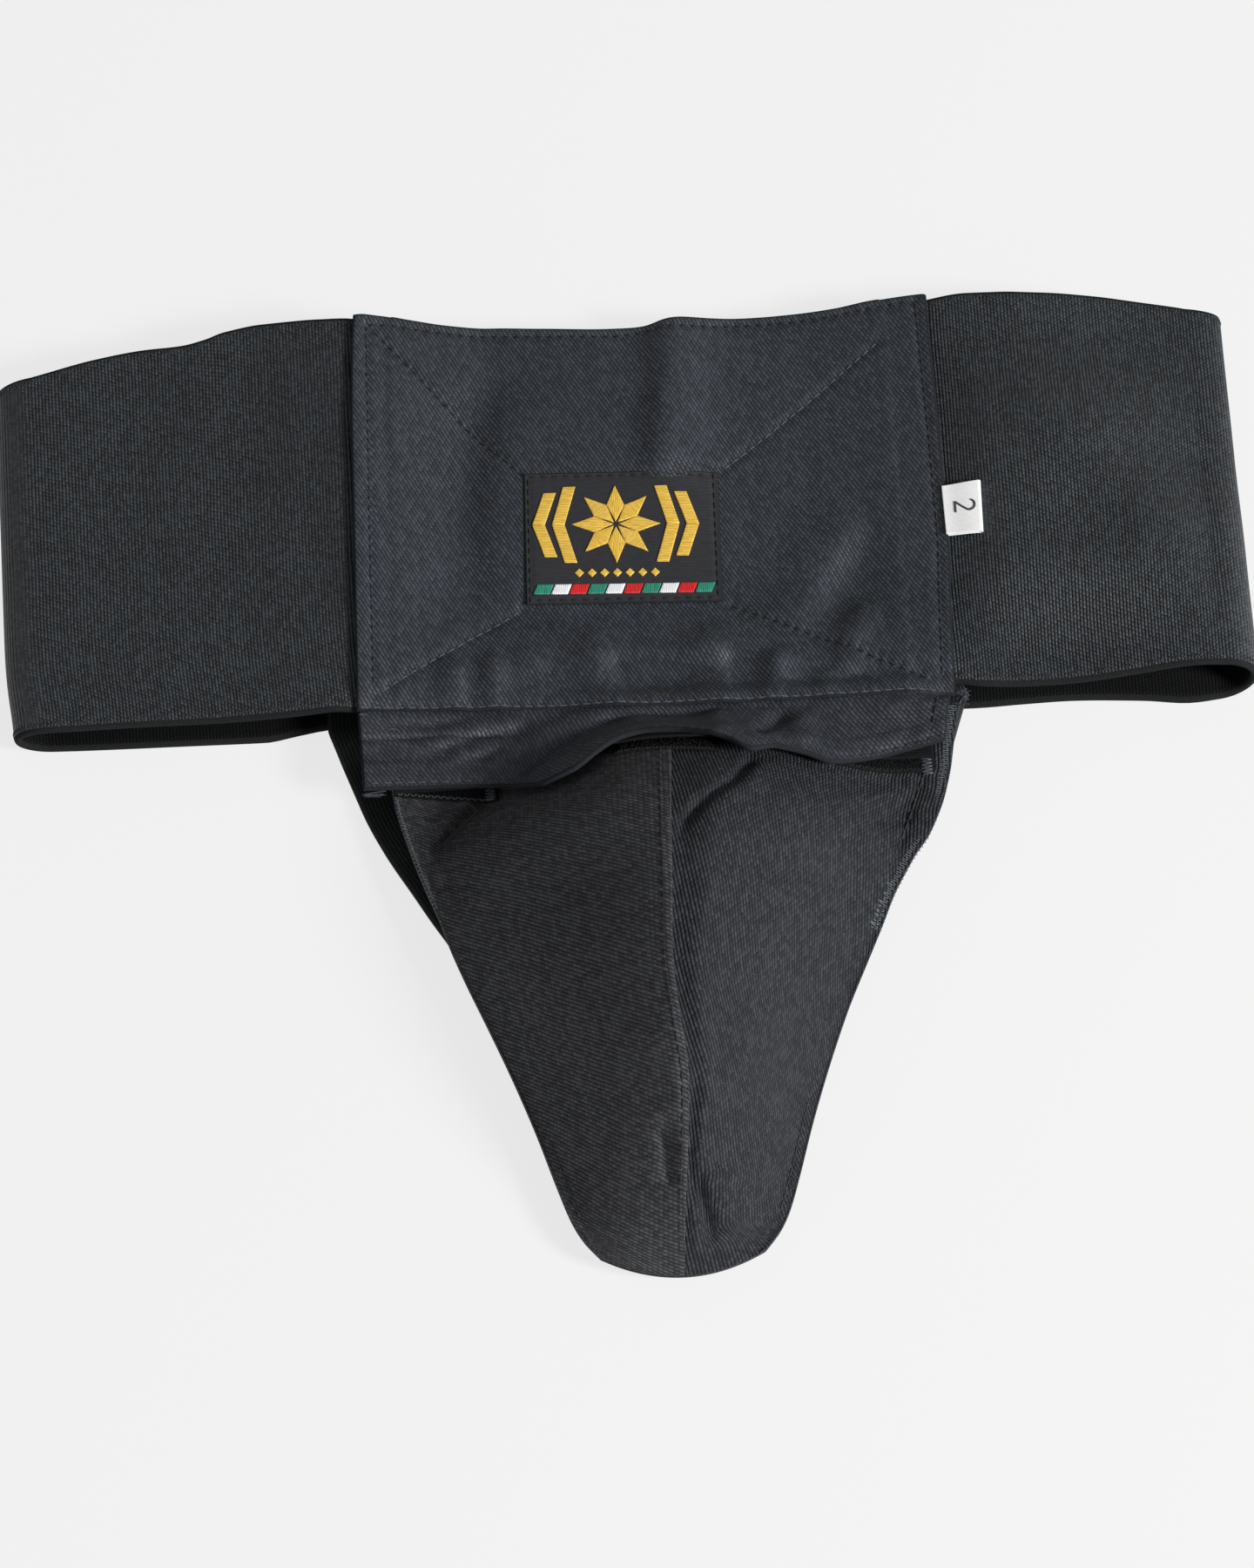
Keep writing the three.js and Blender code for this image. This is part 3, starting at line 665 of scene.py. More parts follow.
def linear(red, green, blue):
    """A colour as it looks on screen, from 0 to 255, for a shader."""
    made = [((c / 255 + 0.055) / 1.055) ** 2.4 if c > 10 else c / 255 / 12.92 for c in (red, green, blue)]
    return (*made, 1.0)


def woven(name, dark, light, angle, pitch, yarn, relief, roughness=0.56, specular=0.5, wander=0.35,
          depth=1.0, tint=None, lively=0.26, mottle=0.0, flecks=0.0):
    """Cloth with raised yarns in lines. Each line is broken into short yarns, staggered from line to line."""
    g = Graph(name, roughness, specular)
    across, along = g.turned(angle)
    drift = g.times(g.noise(across, along, 0.04), wander * 3)
    line = g.add(g.math("DIVIDE", across, pitch), drift)
    number = g.math("FLOOR", line)
    step = g.add(g.math("DIVIDE", along, yarn), g.times(number, 0.38))
    swell = g.arch(g.math("FRACT", step), 0.45)
    height = g.times(g.arch(g.math("FRACT", line), 0.8), g.scaled(swell, 0.55, 0.45))
    chance = g.random(number, g.math("FLOOR", step))
    fuzz = g.noise(across, along, 5.0)
    share = g.add(g.times(height, 0.92 - lively), g.add(g.times(chance, lively), g.times(fuzz, 0.2)))
    share = g.times(share, g.scaled(g.noise(across, along, 0.03, 3.0, z=3.0), 0.24, 0.88))
    if mottle:
        share = g.times(share, g.scaled(g.noise(across, along, 0.8, z=6.0), 2 * mottle, 1 - mottle))
    if flecks:
        fleck = g.math("SUBTRACT", g.noise(across, along, 2.6, 1.0, z=12.0), 0.58)
        share = g.add(share, g.times(g.math("MAXIMUM", fleck, 0.0), flecks))
    colour = g.mixed(g.math("POWER", g.math("MINIMUM", share, 1.35), depth), linear(*dark), linear(*light))
    if tint:
        colour = g.mixed(g.times(g.noise(across, along, 0.5, 1.0, z=9.0), 0.4), colour, linear(*tint))
    return g.dress(colour, g.add(height, g.times(fuzz, 0.3)), relief)


def grained(name, dark, light, roughness, specular, sheen=0.0, scale=2500, relief=0.00008):
    """Two shades mixed by fine noise, which also roughens the surface."""
    g = Graph(name, roughness, specular, sheen)
    place = g.node("ShaderNodeNewGeometry", "Position", {})
    grain = g.node("ShaderNodeTexNoise", "Fac", {"Scale": scale, "Vector": place})
    return g.dress(g.mixed(grain, dark, light), grain, relief)


def thread_look(name, colour, roughness=0.6, sheen=0.2, specular=0.3):
    dark = linear(*colour)
    light = (*(min(1, c * 1.7 + 0.01) for c in dark[:3]), 1.0)
    return grained(name, dark, light, roughness, specular, sheen)


def satin(name, dark, light, angle, pitch, roughness=0.4, relief=0.00006):
    """Shiny yarns laid side by side, as in embroidery and satin tape."""
    g = Graph(name, roughness, specular=0.4, sheen=0.1)
    across, along = g.turned(angle)
    line = g.math("DIVIDE", across, pitch)
    ridge = g.arch(g.math("FRACT", line))
    chance = g.random(g.math("FLOOR", line), g.math("FLOOR", g.times(along, 0.6)))
    share = g.add(g.times(ridge, 0.65), g.times(chance, 0.35))
    return g.dress(g.mixed(share, linear(*dark), linear(*light)), ridge, relief)


RIM = {"roughness": 0.9, "sheen": 0, "specular": 0.1}
TWILL = {"roughness": 0.5, "depth": 1.6, "lively": 0.3, "mottle": 0.12}
MATT_TWILL = {"roughness": 0.8, "specular": 0.3, "lively": 0.36, "mottle": 0.15}

ELASTIC = woven("elastic", (4, 4, 5), (63, 69, 74), 90, 0.8, 1.1, 0.00032, roughness=0.5, depth=1.9,
                tint=(18, 24, 29), lively=0.46, mottle=0.06, flecks=3.0, wander=0.2)
# The inside of the loop is the same elastic, painted near black: painted shade.
ELASTIC_INSIDE_PAINTED_SHADE = woven("elastic_inside_painted_shade", (2, 2, 3), (16, 17, 18), 90, 0.8, 1.1, 0.0001, specular=0.2)
# The elastic's round edges are painted darker and duller than the elastic: painted shade.
ELASTIC_RIM_PAINTED_SHADE = thread_look("elastic_rim_painted_shade", (18, 19, 20), **RIM)
PANEL_TWILL = woven("panel_twill", (6, 7, 9), (66, 72, 81), -60, 0.85, 1.5, 0.00018, **TWILL)
# The flap's twill is the panel's cloth, painted a little darker: painted shade.
FLAP_TWILL_PAINTED_SHADE = woven("flap_twill_painted_shade", (6, 7, 9), (61, 65, 75), -52, 0.85, 1.5, 0.00018, **TWILL)
# The round edges of panel, flap and label are painted darker than their twill: painted shade.
TWILL_RIM_PAINTED_SHADE = thread_look("twill_rim_painted_shade", (24, 26, 30), **RIM)
# The pouch's two halves are one cloth. The shaded left half is painted lighter and the lit right half darker:
# painted light and shade.
POUCH_LEFT_PAINTED_LIGHTER = woven("pouch_twill_left_painted_lighter", (13, 13, 14), (82, 83, 87), -30, 0.85, 1.4, 0.00026, depth=1.6,
                   **MATT_TWILL)
POUCH_RIGHT_PAINTED_DARKER = woven("pouch_twill_right_painted_darker", (8, 8, 10), (57, 60, 66), -80, 0.85, 1.4, 0.0003, depth=1.8,
                    **MATT_TWILL)
LINING = woven("lining", (16, 17, 18), (44, 46, 50), 45, 0.7, 0.7, 0.00008)
STRAP = woven("strap_elastic", (10, 11, 11), (40, 43, 44), 90, 0.9, 1.3, 0.0001, specular=0.2)
SELVAGE = thread_look("selvage_thread", (34, 37, 39))
OVERLOCK_THREAD = thread_look("overlock_thread", (84, 90, 95))
# Near black: the thread's own dark colour, made darker still to stand for the shade in the stitch holes
# (painted shade).
DARK_THREAD = thread_look("dark_thread", (9, 9, 11))
GREY_THREAD = thread_look("grey_thread", (70, 74, 80))
PALE_THREAD = thread_look("pale_thread", (64, 69, 76))
SEAM_THREAD = thread_look("seam_thread", (60, 64, 69))
LABEL_CLOTH = satin("label_cloth", (19, 20, 24), (43, 44, 49), 0, 0.34, roughness=0.6)
GOLD = satin("gold_thread", (182, 130, 32), (255, 214, 92), 0, 0.36)
GREEN = satin("green_thread", (12, 92, 74), (58, 158, 132), 90, 0.36)
WHITE = satin("white_thread", (222, 223, 229), (253, 253, 254), 90, 0.36)
RED = satin("red_thread", (158, 20, 24), (238, 44, 46), 90, 0.36)
TAG_SATIN = satin("tag_satin", (238, 238, 236), (254, 254, 254), 0, 0.3, roughness=0.45, relief=0.00003)
TAG_INK = thread_look("tag_ink", (52, 52, 58), roughness=0.7, sheen=0)
HOOK_TAPE = woven("hook_tape", (6, 6, 7), (26, 27, 29), 0, 0.6, 0.6, 0.00008, specular=0.1)
LOOP_TAPE = woven("loop_tape", (5, 5, 6), (22, 23, 25), 90, 0.6, 0.8, 0.00008, specular=0.1)
LOOP_THREAD = thread_look("loop_thread", (16, 16, 18), roughness=0.8, sheen=0, specular=0.1)
HOOK_THREAD = thread_look("hook_thread", (22, 23, 25), roughness=0.5, sheen=0)
# The tapes' round edges are painted darker than the tapes: painted shade.
TAPE_RIM_PAINTED_SHADE = thread_look("tape_rim_painted_shade", (10, 10, 11), **RIM)
FIBRE = thread_look("fibre", (84, 86, 90), roughness=0.8)
TUFT_THREAD = thread_look("tuft_thread", (46, 49, 58), roughness=0.9)


# Waistband
def waistband():
    high = places(BAND_HEIGHT, 1.6, BAND_THICK)
    around = np.arange(AROUND_STEPS, dtype=float)
    aa, bb = np.meshgrid(around, high)
    row = waistband_middle(aa, bb)[len(high) // 2]
    lengths = run_lengths(np.concatenate([row, row[:1]]))
    marks = np.stack([np.broadcast_to(lengths[:-1], bb.shape), bb], -1)
    looks = [ELASTIC_INSIDE_PAINTED_SHADE, ELASTIC]
    band = cloth("waistband_elastic", waistband_middle, around, high, BAND_THICK - PRESSED, looks,
                 loop_end=lengths[-1], uv=lambda points: marks, rim_look=ELASTIC_RIM_PAINTED_SHADE)
    finished(band, "waistband")


SELVAGE_COUNT = 400
SELVAGE_LIFT = 0.95
SELVAGE_SHAPE = np.array([-1, -0.5, 0, 0.5, 1.0])[:, None]
SELVAGE_RISE = np.array([-0.1, 0.02, 0.05, 0.02, -0.1])[:, None]


def selvage_dashes():
    """Small slanted dashes just inside both edges of the elastic's front, one per rib pair."""
    spots = np.linspace(BACK_STEPS - 10, AROUND_STEPS + 10, SELVAGE_COUNT) % AROUND_STEPS
    paths, facing = [], []
    for high in (2.2, BAND_HEIGHT - 2.0):
        here = waistband_middle(spots, high)
        ahead = unit(waistband_middle(spots + 0.2, high) - here)
        up = unit(waistband_middle(spots, high + 1) - here)
        out = np.cross(up, ahead)
        reach = up * 0.55 + ahead * 0.28 * alternating(len(spots))
        rise = out[:, None, :] * SELVAGE_RISE
        paths.append((here + out * SELVAGE_LIFT)[:, None, :] + reach[:, None, :] * SELVAGE_SHAPE + rise)
        facing.append(out)
    threads("waistband_selvage", np.concatenate(paths), np.concatenate(facing), SELVAGE, 0.13,
            (0.5, 1, 1, 1, 0.5), sides=5)


# Front panel
panel_left = profile(
    (-60, -71.8), (-52, -71.7), (-28, -71.4), (-4, -71.1), (20, -70.9), (46, -70.1), (54, -69.3),
)
panel_right = profile((-60, 67.4), (-36, 68.6), (-17, 69.9), (0, 70), (13, 70.2), (38, 70.3), (54, 70.3))
panel_top = profile(
    (-71, 51.2), (-69.4, 52.6), (-66.5, 53.1), (-63, 53.1), (-56, 52.6), (-45.6, 52), (-37, 52),
    (-24.4, 51.2), (-7.3, 50.2), (1.3, 50.2), (9.8, 51.3), (20.5, 52), (31, 52), (40, 52.2), (48.4, 52.5),
    (57, 53.4), (65.7, 53.6), (69.4, 53.5), (71, 52.4),
)
FOLD_STRENGTH = 1.7
PANEL_REACH_DOWN = 0.7
PANEL_LIFT_RUN = 6.4  # distance over which the panel rises to the lifted seam
PANEL_FOLDS = [  # line, height, width, width on the right, fade at both ends
    ([(8, 58), (6, 34), (4, 18), (3, 2)], 1.7, 8.5, 5, (0, 0.2)),
    ([(-30, 46), (-42, 24), (-44.5, 4), (-46, -34)], -0.9, 7, 7, (0.3, 0.2)),
    ([(-34, 42), (-34, 22), (-37, 0), (-41, -22)], 0.3, 8, 5, (0.3, 0.3)),
    ([(48, 0), (43, -14), (35, -27), (28, -42)], 1.0, 4.6, 9, (0.3, 0.25)),
    ([(52, -10), (47, -24), (40, -40)], -0.4, 5, 4, (0.3, 0.3)),
    ([(50, -29), (44, -44), (42, -54)], 0.8, 3.6, 4, (0.3, 0.2)),
    ([(-47, -33), (-30, -31), (-10, -31)], -0.4, 5, 4, (0.2, 0.2)),
    ([(-49.5, -40), (-48, -58)], 1.2, 2.4, 4, (0.4, 0)),
    ([(-40, -38), (-39, -58)], 1.1, 2.8, 3.4, (0.4, 0)),
    ([(-30, -38), (-31, -50)], 0.5, 3.2, 3.6, (0.4, 0.4)),
    ([(-19, -34), (-15, -42), (-11.5, -58)], 1.2, 3, 7, (0.4, 0)),
    ([(9.5, -34), (12.5, -44), (13.5, -58)], 1.5, 3, 8, (0.4, 0)),
    ([(28, -42), (25, -58)], 1.2, 3.2, 3, (0.4, 0)),
    ([(38, -50), (38, -58)], 0.7, 2.6, 3, (0.4, 0)),
    ([(-16, -46.5), (4, -48), (24, -48)], -1.2, 3.5, 6, (0.2, 0.2)),
]

EDGE_ROWS = [
    [(-66.4, 50.2), (-66.4, 43), (-67.1, -4), (-67.6, -52)],
    [(-66, 50), (-62.6, 50.3), (-56, 49.9), (-45.7, 49.4), (-37, 49.4), (-24.5, 48.7), (-7, 47.7),
     (9.7, 48.7), (20, 49.5), (31, 49.5), (40, 49.7), (48, 50), (57, 51), (67.2, 51.8)],
    [(67.5, 51.4), (67.6, 13), (67.3, -17), (66, -36), (64.8, -54.5)],
]
DARK_CORNER_ROWS = [[(-64.8, 48.4), (-30.9, 9.2)], [(62, -55), (16, -29.2)]]
PALE_CORNER_ROWS = [[(-66, -51.5), (-31.2, -27.8)], [(57.5, 41), (17, 7.9)]]
HEM_LINES = [[(-60.3, 50), (-61.7, -54)], [(57, -55), (58.2, 13), (58.6, 48)]]
HEM_STEP = 0.35


def seam_line(start, end, step):
    x = np.arange(start, end, step, float)
    return np.stack([x, seam_row(x)], -1)


PANEL_SEWN = (  # rows of stitches, and how deep and wide they pull the cloth in
    ([seam_line(-72, 68, 4)], 0.5, 1.3),
    (EDGE_ROWS, 0.55, 0.9),
    (DARK_CORNER_ROWS + PALE_CORNER_ROWS, 0.65, 1.2),
)


def panel_fold(x, y):
    return creased(x, y, PANEL_FOLDS)


def panel_sewn(x, y):
    return sum(sewn(x, y, line, depth, width) for lines, depth, width in PANEL_SEWN for line in lines)


def panel_level(x, y):
    """Middle of the front panel's cloth. Low down its valleys don't go deeper than PANEL_REACH_DOWN."""
    hem = HEM_STEP * sum(smooth(nearest_on(line, x, y)[0] / 2) for line in HEM_LINES)
    lift = seam_lift(x) * (1 - smooth((y - seam_row(x)) / PANEL_LIFT_RUN))
    fold = panel_fold(x, y) * (0.35 + 0.65 * smooth((y - SEAM_Y + 1) / 10)) * FOLD_STRENGTH
    above = fold + PANEL_REACH_DOWN
    held_up = (above + np.sqrt(above**2 + 0.2)) / 2 - PANEL_REACH_DOWN
    fold = lerp(held_up, fold, smooth((y + 38) / 6))
    return PANEL_UNDER + PANEL_THICK / 2 + GAP + sag(x, y) + fold + lift - hem


def panel_top_level(x, y):
    return panel_level(x, y) + PANEL_THICK / 2 + panel_sewn(x, y)


def panel_middle(a, b):
    high = b / BAND_HEIGHT
    nominal_y = lerp(-57.0, 53.0, high)
    x = lerp(panel_left(nominal_y), panel_right(nominal_y), a / PANEL_WIDTH)
    y = lerp(seam_row(x) - SEAM_MARGIN_BELOW, panel_top(x), high)
    return np.stack([x, y, panel_level(x, y)], -1)


def in_plan(points):
    return points[..., :2]


def front_panel():
    panel = dressed("panel_cloth", "front_panel", "panel_twill", panel_middle, (PANEL_WIDTH, BAND_HEIGHT),
                    (0.75, 0.75), PANEL_THICK, PANEL_TWILL, uv=in_plan, rim_look=TWILL_RIM_PAINTED_SHADE,
                    fat=lambda points, a, b: panel_sewn(points[..., 0], points[..., 1]))
    for name, lines, look, radius in (
        ("panel_stitches_dark", EDGE_ROWS + DARK_CORNER_ROWS, DARK_THREAD, 0.25),
        ("panel_stitches_pale", PALE_CORNER_ROWS, GREY_THREAD, 0.14),
        ("panel_seam_stitches", [seam_line(-71, 67, 3)], SEAM_THREAD, 0.15),
    ):
        stitches(name, panel_top_level, lines, look, radius=radius)


# Label with a plain star, chevrons and a row of small lozenges
LABEL_MIDDLE = (-7.3, -10.0)
LABEL_TILT = math.radians(-1.6)
LABEL_SIZE = (46.6, 36.2)
LABEL_THICK = 0.6
LABEL_LIFT = 0.55
LABEL_FOLLOWS = 0.75  # share of the panel's folds that the stiffer label follows
LABEL_ROW = [(-22.2, 17), (22.2, 17), (22.2, -17), (-22.2, -17), (-22.2, 17)]
STAR_MIDDLE = (-1.6, 3.6)
CHEVRON_REACH = 2.8
CHEVRON_WIDE = 3.0
MOTIF_RISE = 0.28
MOTIF_RINGS = ((0, -0.1), (0, 0.5), (0.09, 0.85), (0.25, 1), (0.6, 1.06))  # mm inwards, share of the rise


def label_to_xy(p, q):
    c, s = math.cos(LABEL_TILT), math.sin(LABEL_TILT)
    return LABEL_MIDDLE[0] + p * c - q * s, LABEL_MIDDLE[1] + p * s + q * c


def label_level(x, y):
    """Middle of the label."""
    return PANEL_TOP + LABEL_LIFT + sag(x, y) + panel_fold(x, y) * LABEL_FOLLOWS


def label_top_level(x, y):
    return label_level(x, y) + LABEL_THICK / 2


def from_label_middle(a, b):
    return a - LABEL_SIZE[0] / 2, b - LABEL_SIZE[1] / 2


def label_middle(a, b):
    x, y = label_to_xy(*from_label_middle(a, b))
    return np.stack([x, y, label_level(x, y)], -1)


def raised_shape(outline):
    """Points and faces of a low shape with soft edges on the label, from the corners of a convex outline."""
    outline = np.array(outline, float)
    middle = outline.mean(0)
    shares = np.linspace(0, 1, 6)[:-1, None]
    edge = np.concatenate([lerp(start, end, shares) for start, end in zip(outline, np.roll(outline, -1, 0))])
    away = middle - edge
    reach = np.linalg.norm(away, axis=1, keepdims=True)
    rings = [edge + away / reach * np.minimum(inset, reach * 0.8) for inset, _ in MOTIF_RINGS]
    up = np.concatenate([np.repeat([share for _, share in MOTIF_RINGS], len(edge)), [1.08, -0.12]])
    x, y = label_to_xy(*np.concatenate([*rings, [middle, middle]]).T)
    points = np.stack([x, y, label_top_level(x, y) + MOTIF_RISE * up], -1)
    index = np.arange(len(points) - 2).reshape(len(rings), -1)
    wrapped = np.concatenate([index, index[:, :1]], 1)
    top, bottom = len(points) - 2, len(points) - 1
    return points, [quads(wrapped).reshape(-1, 4), fan(top, wrapped[-1]), fan(bottom, wrapped[0, ::-1])]


def motif(name, shapes, material):
    """Raised shapes as one piece. Each has an outline and the angle of its yarns."""
    points, faces, marks = [], [], []
    done = 0
    for outline, angle in shapes:
        spots, blocks = raised_shape(outline)
        c, s = math.cos(angle), math.sin(angle)
        flat = spots[:, :2] @ [[c, s], [-s, c]]
        points.append(spots)
        faces += [block + done for block in blocks]
        marks += [flat[block] for block in blocks]
        done += len(spots)
    made = new_mesh(name, np.concatenate(points), faces, material, marks)
    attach(made, "garment")
    return made


def star(outer, inner, count):
    """The kites of a pointed star, one for each point."""
    kites = []
    half = math.pi / count
    for i in range(count):
        turn = math.pi / 2 + 2 * half * i
        spots = ((inner * 0.12, turn), (inner, turn - half), (outer, turn), (inner, turn + half))
        outline = [(STAR_MIDDLE[0] + r * math.cos(t), STAR_MIDDLE[1] + r * math.sin(t)) for r, t in spots]
        kites.append((outline, turn))
    return kites


def chevron(side, away, half_high):
    """Two slanted bars that meet in a point, away from the star's middle."""
    x, y = STAR_MIDDLE[0] + side * away, STAR_MIDDLE[1]
    tip, wide = x + side * CHEVRON_REACH, side * CHEVRON_WIDE
    upper = [(x, y + half_high), (tip, y), (tip + wide, y), (x + wide, y + half_high)]
    lower = [(p, 2 * y - q) for p, q in upper]
    return [(upper[::-side], 0), (lower[::side], 0)]


def woven_label():
    label = dressed("label_cloth", "woven_label", "label_weave", label_middle, LABEL_SIZE, (0.6, 0.6),
                    LABEL_THICK, LABEL_CLOTH, rim_look=TWILL_RIM_PAINTED_SHADE,
                    fat=lambda points, a, b: sewn(*from_label_middle(a, b), LABEL_ROW, 0.25, 0.7))
    gold = star(10.6, 5.6, 8)
    for side in (-1, 1):
        for i in range(2):
            gold += chevron(side, 9.4 + 4.7 * i, 10.4 - 1.6 * i)
    for x in np.arange(-10.6, 8, 3.0):
        gold.append(([(x - 1.1, -9.6), (x, -10.8), (x + 1.1, -9.6), (x, -8.4)], 0))
    pieces = [motif("label_motif_gold", gold, GOLD)]
    for first, (name, material) in enumerate((("green", GREEN), ("white", WHITE), ("red", RED))):
        blocks = [([(x, -15.4), (x + 3.9, -15.4), (x + 4.9, -12.7), (x + 1, -12.7)], 0)
                  for x in -21.6 + 4.25 * np.arange(first, 10, 3)]
        pieces.append(motif(f"label_blocks_{name}", blocks, material))
    row = [label_to_xy(p, q) for p, q in LABEL_ROW]
    stitches("label_stitches", label_top_level, [row], DARK_THREAD, radius=0.15)


# Size tag: a short satin tape folded over, with a plain numeral
TAG_WIDTH = 14.6
TAG_REACH = 8.7
TAG_FOLD = 1.4
TAG_LENGTH = 2 * TAG_REACH + TAG_FOLD
TAG_THICK = 0.3
TAG_LIFT = 0.75
TAG_LOFT = 0.8  # height of the upper layer over the lower one
TAG_START_X = 69.2
TAG_LOW, TAG_HIGH = -15.3, -2


def tag_middle(a, b):
    """Place a runs out from the panel's edge along the lower layer, round the fold and back above it."""
    turn = math.pi * clamp01((a - TAG_REACH) / TAG_FOLD)
    over = np.maximum(0, a - TAG_REACH - TAG_FOLD)
    reach = np.minimum(a, TAG_REACH) + 0.45 * np.sin(turn) - over
    z = BAND_OUTER + TAG_LIFT + TAG_LOFT * (1 - np.cos(turn)) / 2 + 0.35 * bell(reach - 6, 4)
    high = b / TAG_WIDTH
    y = lerp(TAG_LOW, TAG_HIGH, high) + lerp(-0.05, 0.03, high) * reach
    x = TAG_START_X + reach * lerp(0.94, 1, high)
    return np.stack([x, y, z + sag(x, y) * 0.5 + elastic_waves(x, y)], -1)


def tag_numeral(x, y, size):
    """The outline of a plain 2, lying on its side as the tag is read from the right."""
    arc = np.radians(np.linspace(165, -35, 14))
    line = [*zip(0.26 * np.cos(arc), 0.72 + 0.25 * np.sin(arc)), (0.02, 0.33), (-0.26, 0.03), (0.3, 0.03)]
    return [(x + size * q, y - size * p) for p, q in line]


def size_tag():
    tag = dressed("tag_tape", "size_tag", "tag_satin", tag_middle, (TAG_LENGTH, TAG_WIDTH), (0.35, 0.8),
                  TAG_THICK, TAG_SATIN)
    line = tag_numeral(71.9, -8.2, 5.0)
    fine, _ = along_line(line, np.linspace(0, line_length(line) - 0.01, 60))
    high = (fine[:, 1] - TAG_LOW) / (TAG_HIGH - TAG_LOW) * TAG_WIDTH
    path = tag_middle(TAG_LENGTH - (fine[:, 0] - TAG_START_X), high) + [0, 0, 0.12]
    ink = threads("tag_numeral", path[None], UPWARDS, TAG_INK, 0.28)


# Closure flap
flap_length = profile(
    (-74, 21.7), (-64, 21.3), (-52, 21), (-46, 21), (-40, 21.6), (-34, 24.9), (-28, 29.5), (-22, 29),
    (-16, 23.7), (-10, 17.9), (-4, 15.5), (2, 15.9), (8, 18.5), (14, 21.8), (20, 25.9), (26, 22.3),
    (32, 22.1), (38, 22.9), (44, 21), (50, 18.9), (56, 17.4), (62, 16.4), (68, 16),
)
FLAP_FOLDS = [
    ([(-13, -58.8), (-21, -61.3), (-29, -64.5), (-38, -69), (-44, -74)], 1.2, 3.4, 2.6, (0.15, 0.3)),
    ([(-6, -61.2), (-13, -62.8), (-21, -66.2), (-28, -70), (-34, -75), (-37, -79)],
     -1.4, 2.2, 2.4, (0.25, 0.2)),
    ([(-31, -60), (-43, -61.5), (-61, -66)], 1.0, 1.6, 3, (0.2, 0.3)),
    ([(-35, -64.5), (-55, -69.6)], 1.0, 1.5, 2.6, (0.2, 0.4)),
    ([(-71.5, -62.2), (-49.7, -62.9), (-30.8, -64.5)], -0.5, 0.5, 0.7, (0, 0.3)),
    ([(-68, -58), (-56, -60), (-44, -59)], -0.5, 1.8, 1.8, (0.2, 0.2)),
    ([(-6, -60), (2, -63), (12, -62)], -0.9, 2, 2, (0.2, 0.2)),
    ([(29, -63.3), (24, -68.5), (19, -73)], -1.7, 1.8, 2.6, (0.2, 0.2)),
    ([(34, -62), (31, -68), (30, -76)], 1.3, 3, 3, (0.3, 0.2)),
    ([(12, -60), (12, -68), (14, -74)], 1.2, 3, 4, (0.3, 0.2)),
    ([(42, -60), (47, -66), (60, -69)], -0.5, 3, 3, (0.3, 0.2)),
    ([(52, -60), (50, -68), (52, -74)], 0.4, 4, 4, (0.3, 0.2)),
]

FLAP_SIDE_ROW = [(63.2, -60.5), (61.6, -66), (60.6, -71.5)]
FLAP_TUCKED = 0.9  # how far past its seam's stitches the flap reaches under the panel
FLAP_HEM_ROW = 1.5
FLAP_HEM = 5.6
HEM_THICKER = 0.35


def flap_level(x, y):
    """Middle of the flap's cloth."""
    down = seam_row(x) - y
    fold = creased(x, y, FLAP_FOLDS) * smooth((down - 0.5) / 4)
    tuck = 0.35 * (1 - smooth(down / 2.5))
    return flap_under(x, y) + FLAP_THICK / 2 + fold - tuck


def flap_length_at(share):
    return flap_length(lerp(-71.5, 66, share))


def flap_middle(a, b):
    """Place b runs up to the seam, to the edge tucked under the panel."""
    share = a / FLAP_WIDTH
    start = seam_row(lerp(-71, 66, share)) + FLAP_TUCKED
    down = (1 - b / FLAP_HEIGHT) * flap_length_at(share)
    x = lerp(-71.6 + 0.03 * down, 66.6 - 0.16 * down, share)
    y = y_after(flap_under, x, start, down)
    return np.stack([x, y, flap_level(x, y)], -1)


def flap_edge(start=1.5, end=FLAP_WIDTH - 1.5):
    """The row of stitches along the flap's lower edge."""
    a = np.linspace(start, end, 60)
    return flap_middle(a, FLAP_HEIGHT * FLAP_HEM_ROW / flap_length_at(a / FLAP_WIDTH))[:, :2]


def flap_fat(points, a, b):
    x, y = points[..., 0], points[..., 1]
    rows = sewn(x, y, flap_edge(), 0.35) + sewn(x, y, FLAP_SIDE_ROW)
    return HEM_THICKER * (1 - smooth((b - FLAP_HEM) / 1.2)) + rows


def flap_top_level(x, y):
    return flap_level(x, y) + FLAP_THICK / 2 + 0.1


def closure_flap():
    a, b = places(FLAP_WIDTH, 0.75, FLAP_THICK), places(FLAP_HEIGHT, 0.55, FLAP_THICK)
    flap = cloth("flap_cloth", flap_middle, a, b, FLAP_THICK, FLAP_TWILL_PAINTED_SHADE, fat=flap_fat, rim_look=TWILL_RIM_PAINTED_SHADE)
    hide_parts("closure_flap")
    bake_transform(flap)
    stitches("flap_stitches_pale", flap_top_level, [flap_edge(end=52)], PALE_THREAD, "flap", radius=0.13)
    stitches("flap_stitches_dark", flap_top_level, [flap_edge(start=53), FLAP_SIDE_ROW], DARK_THREAD, "flap")


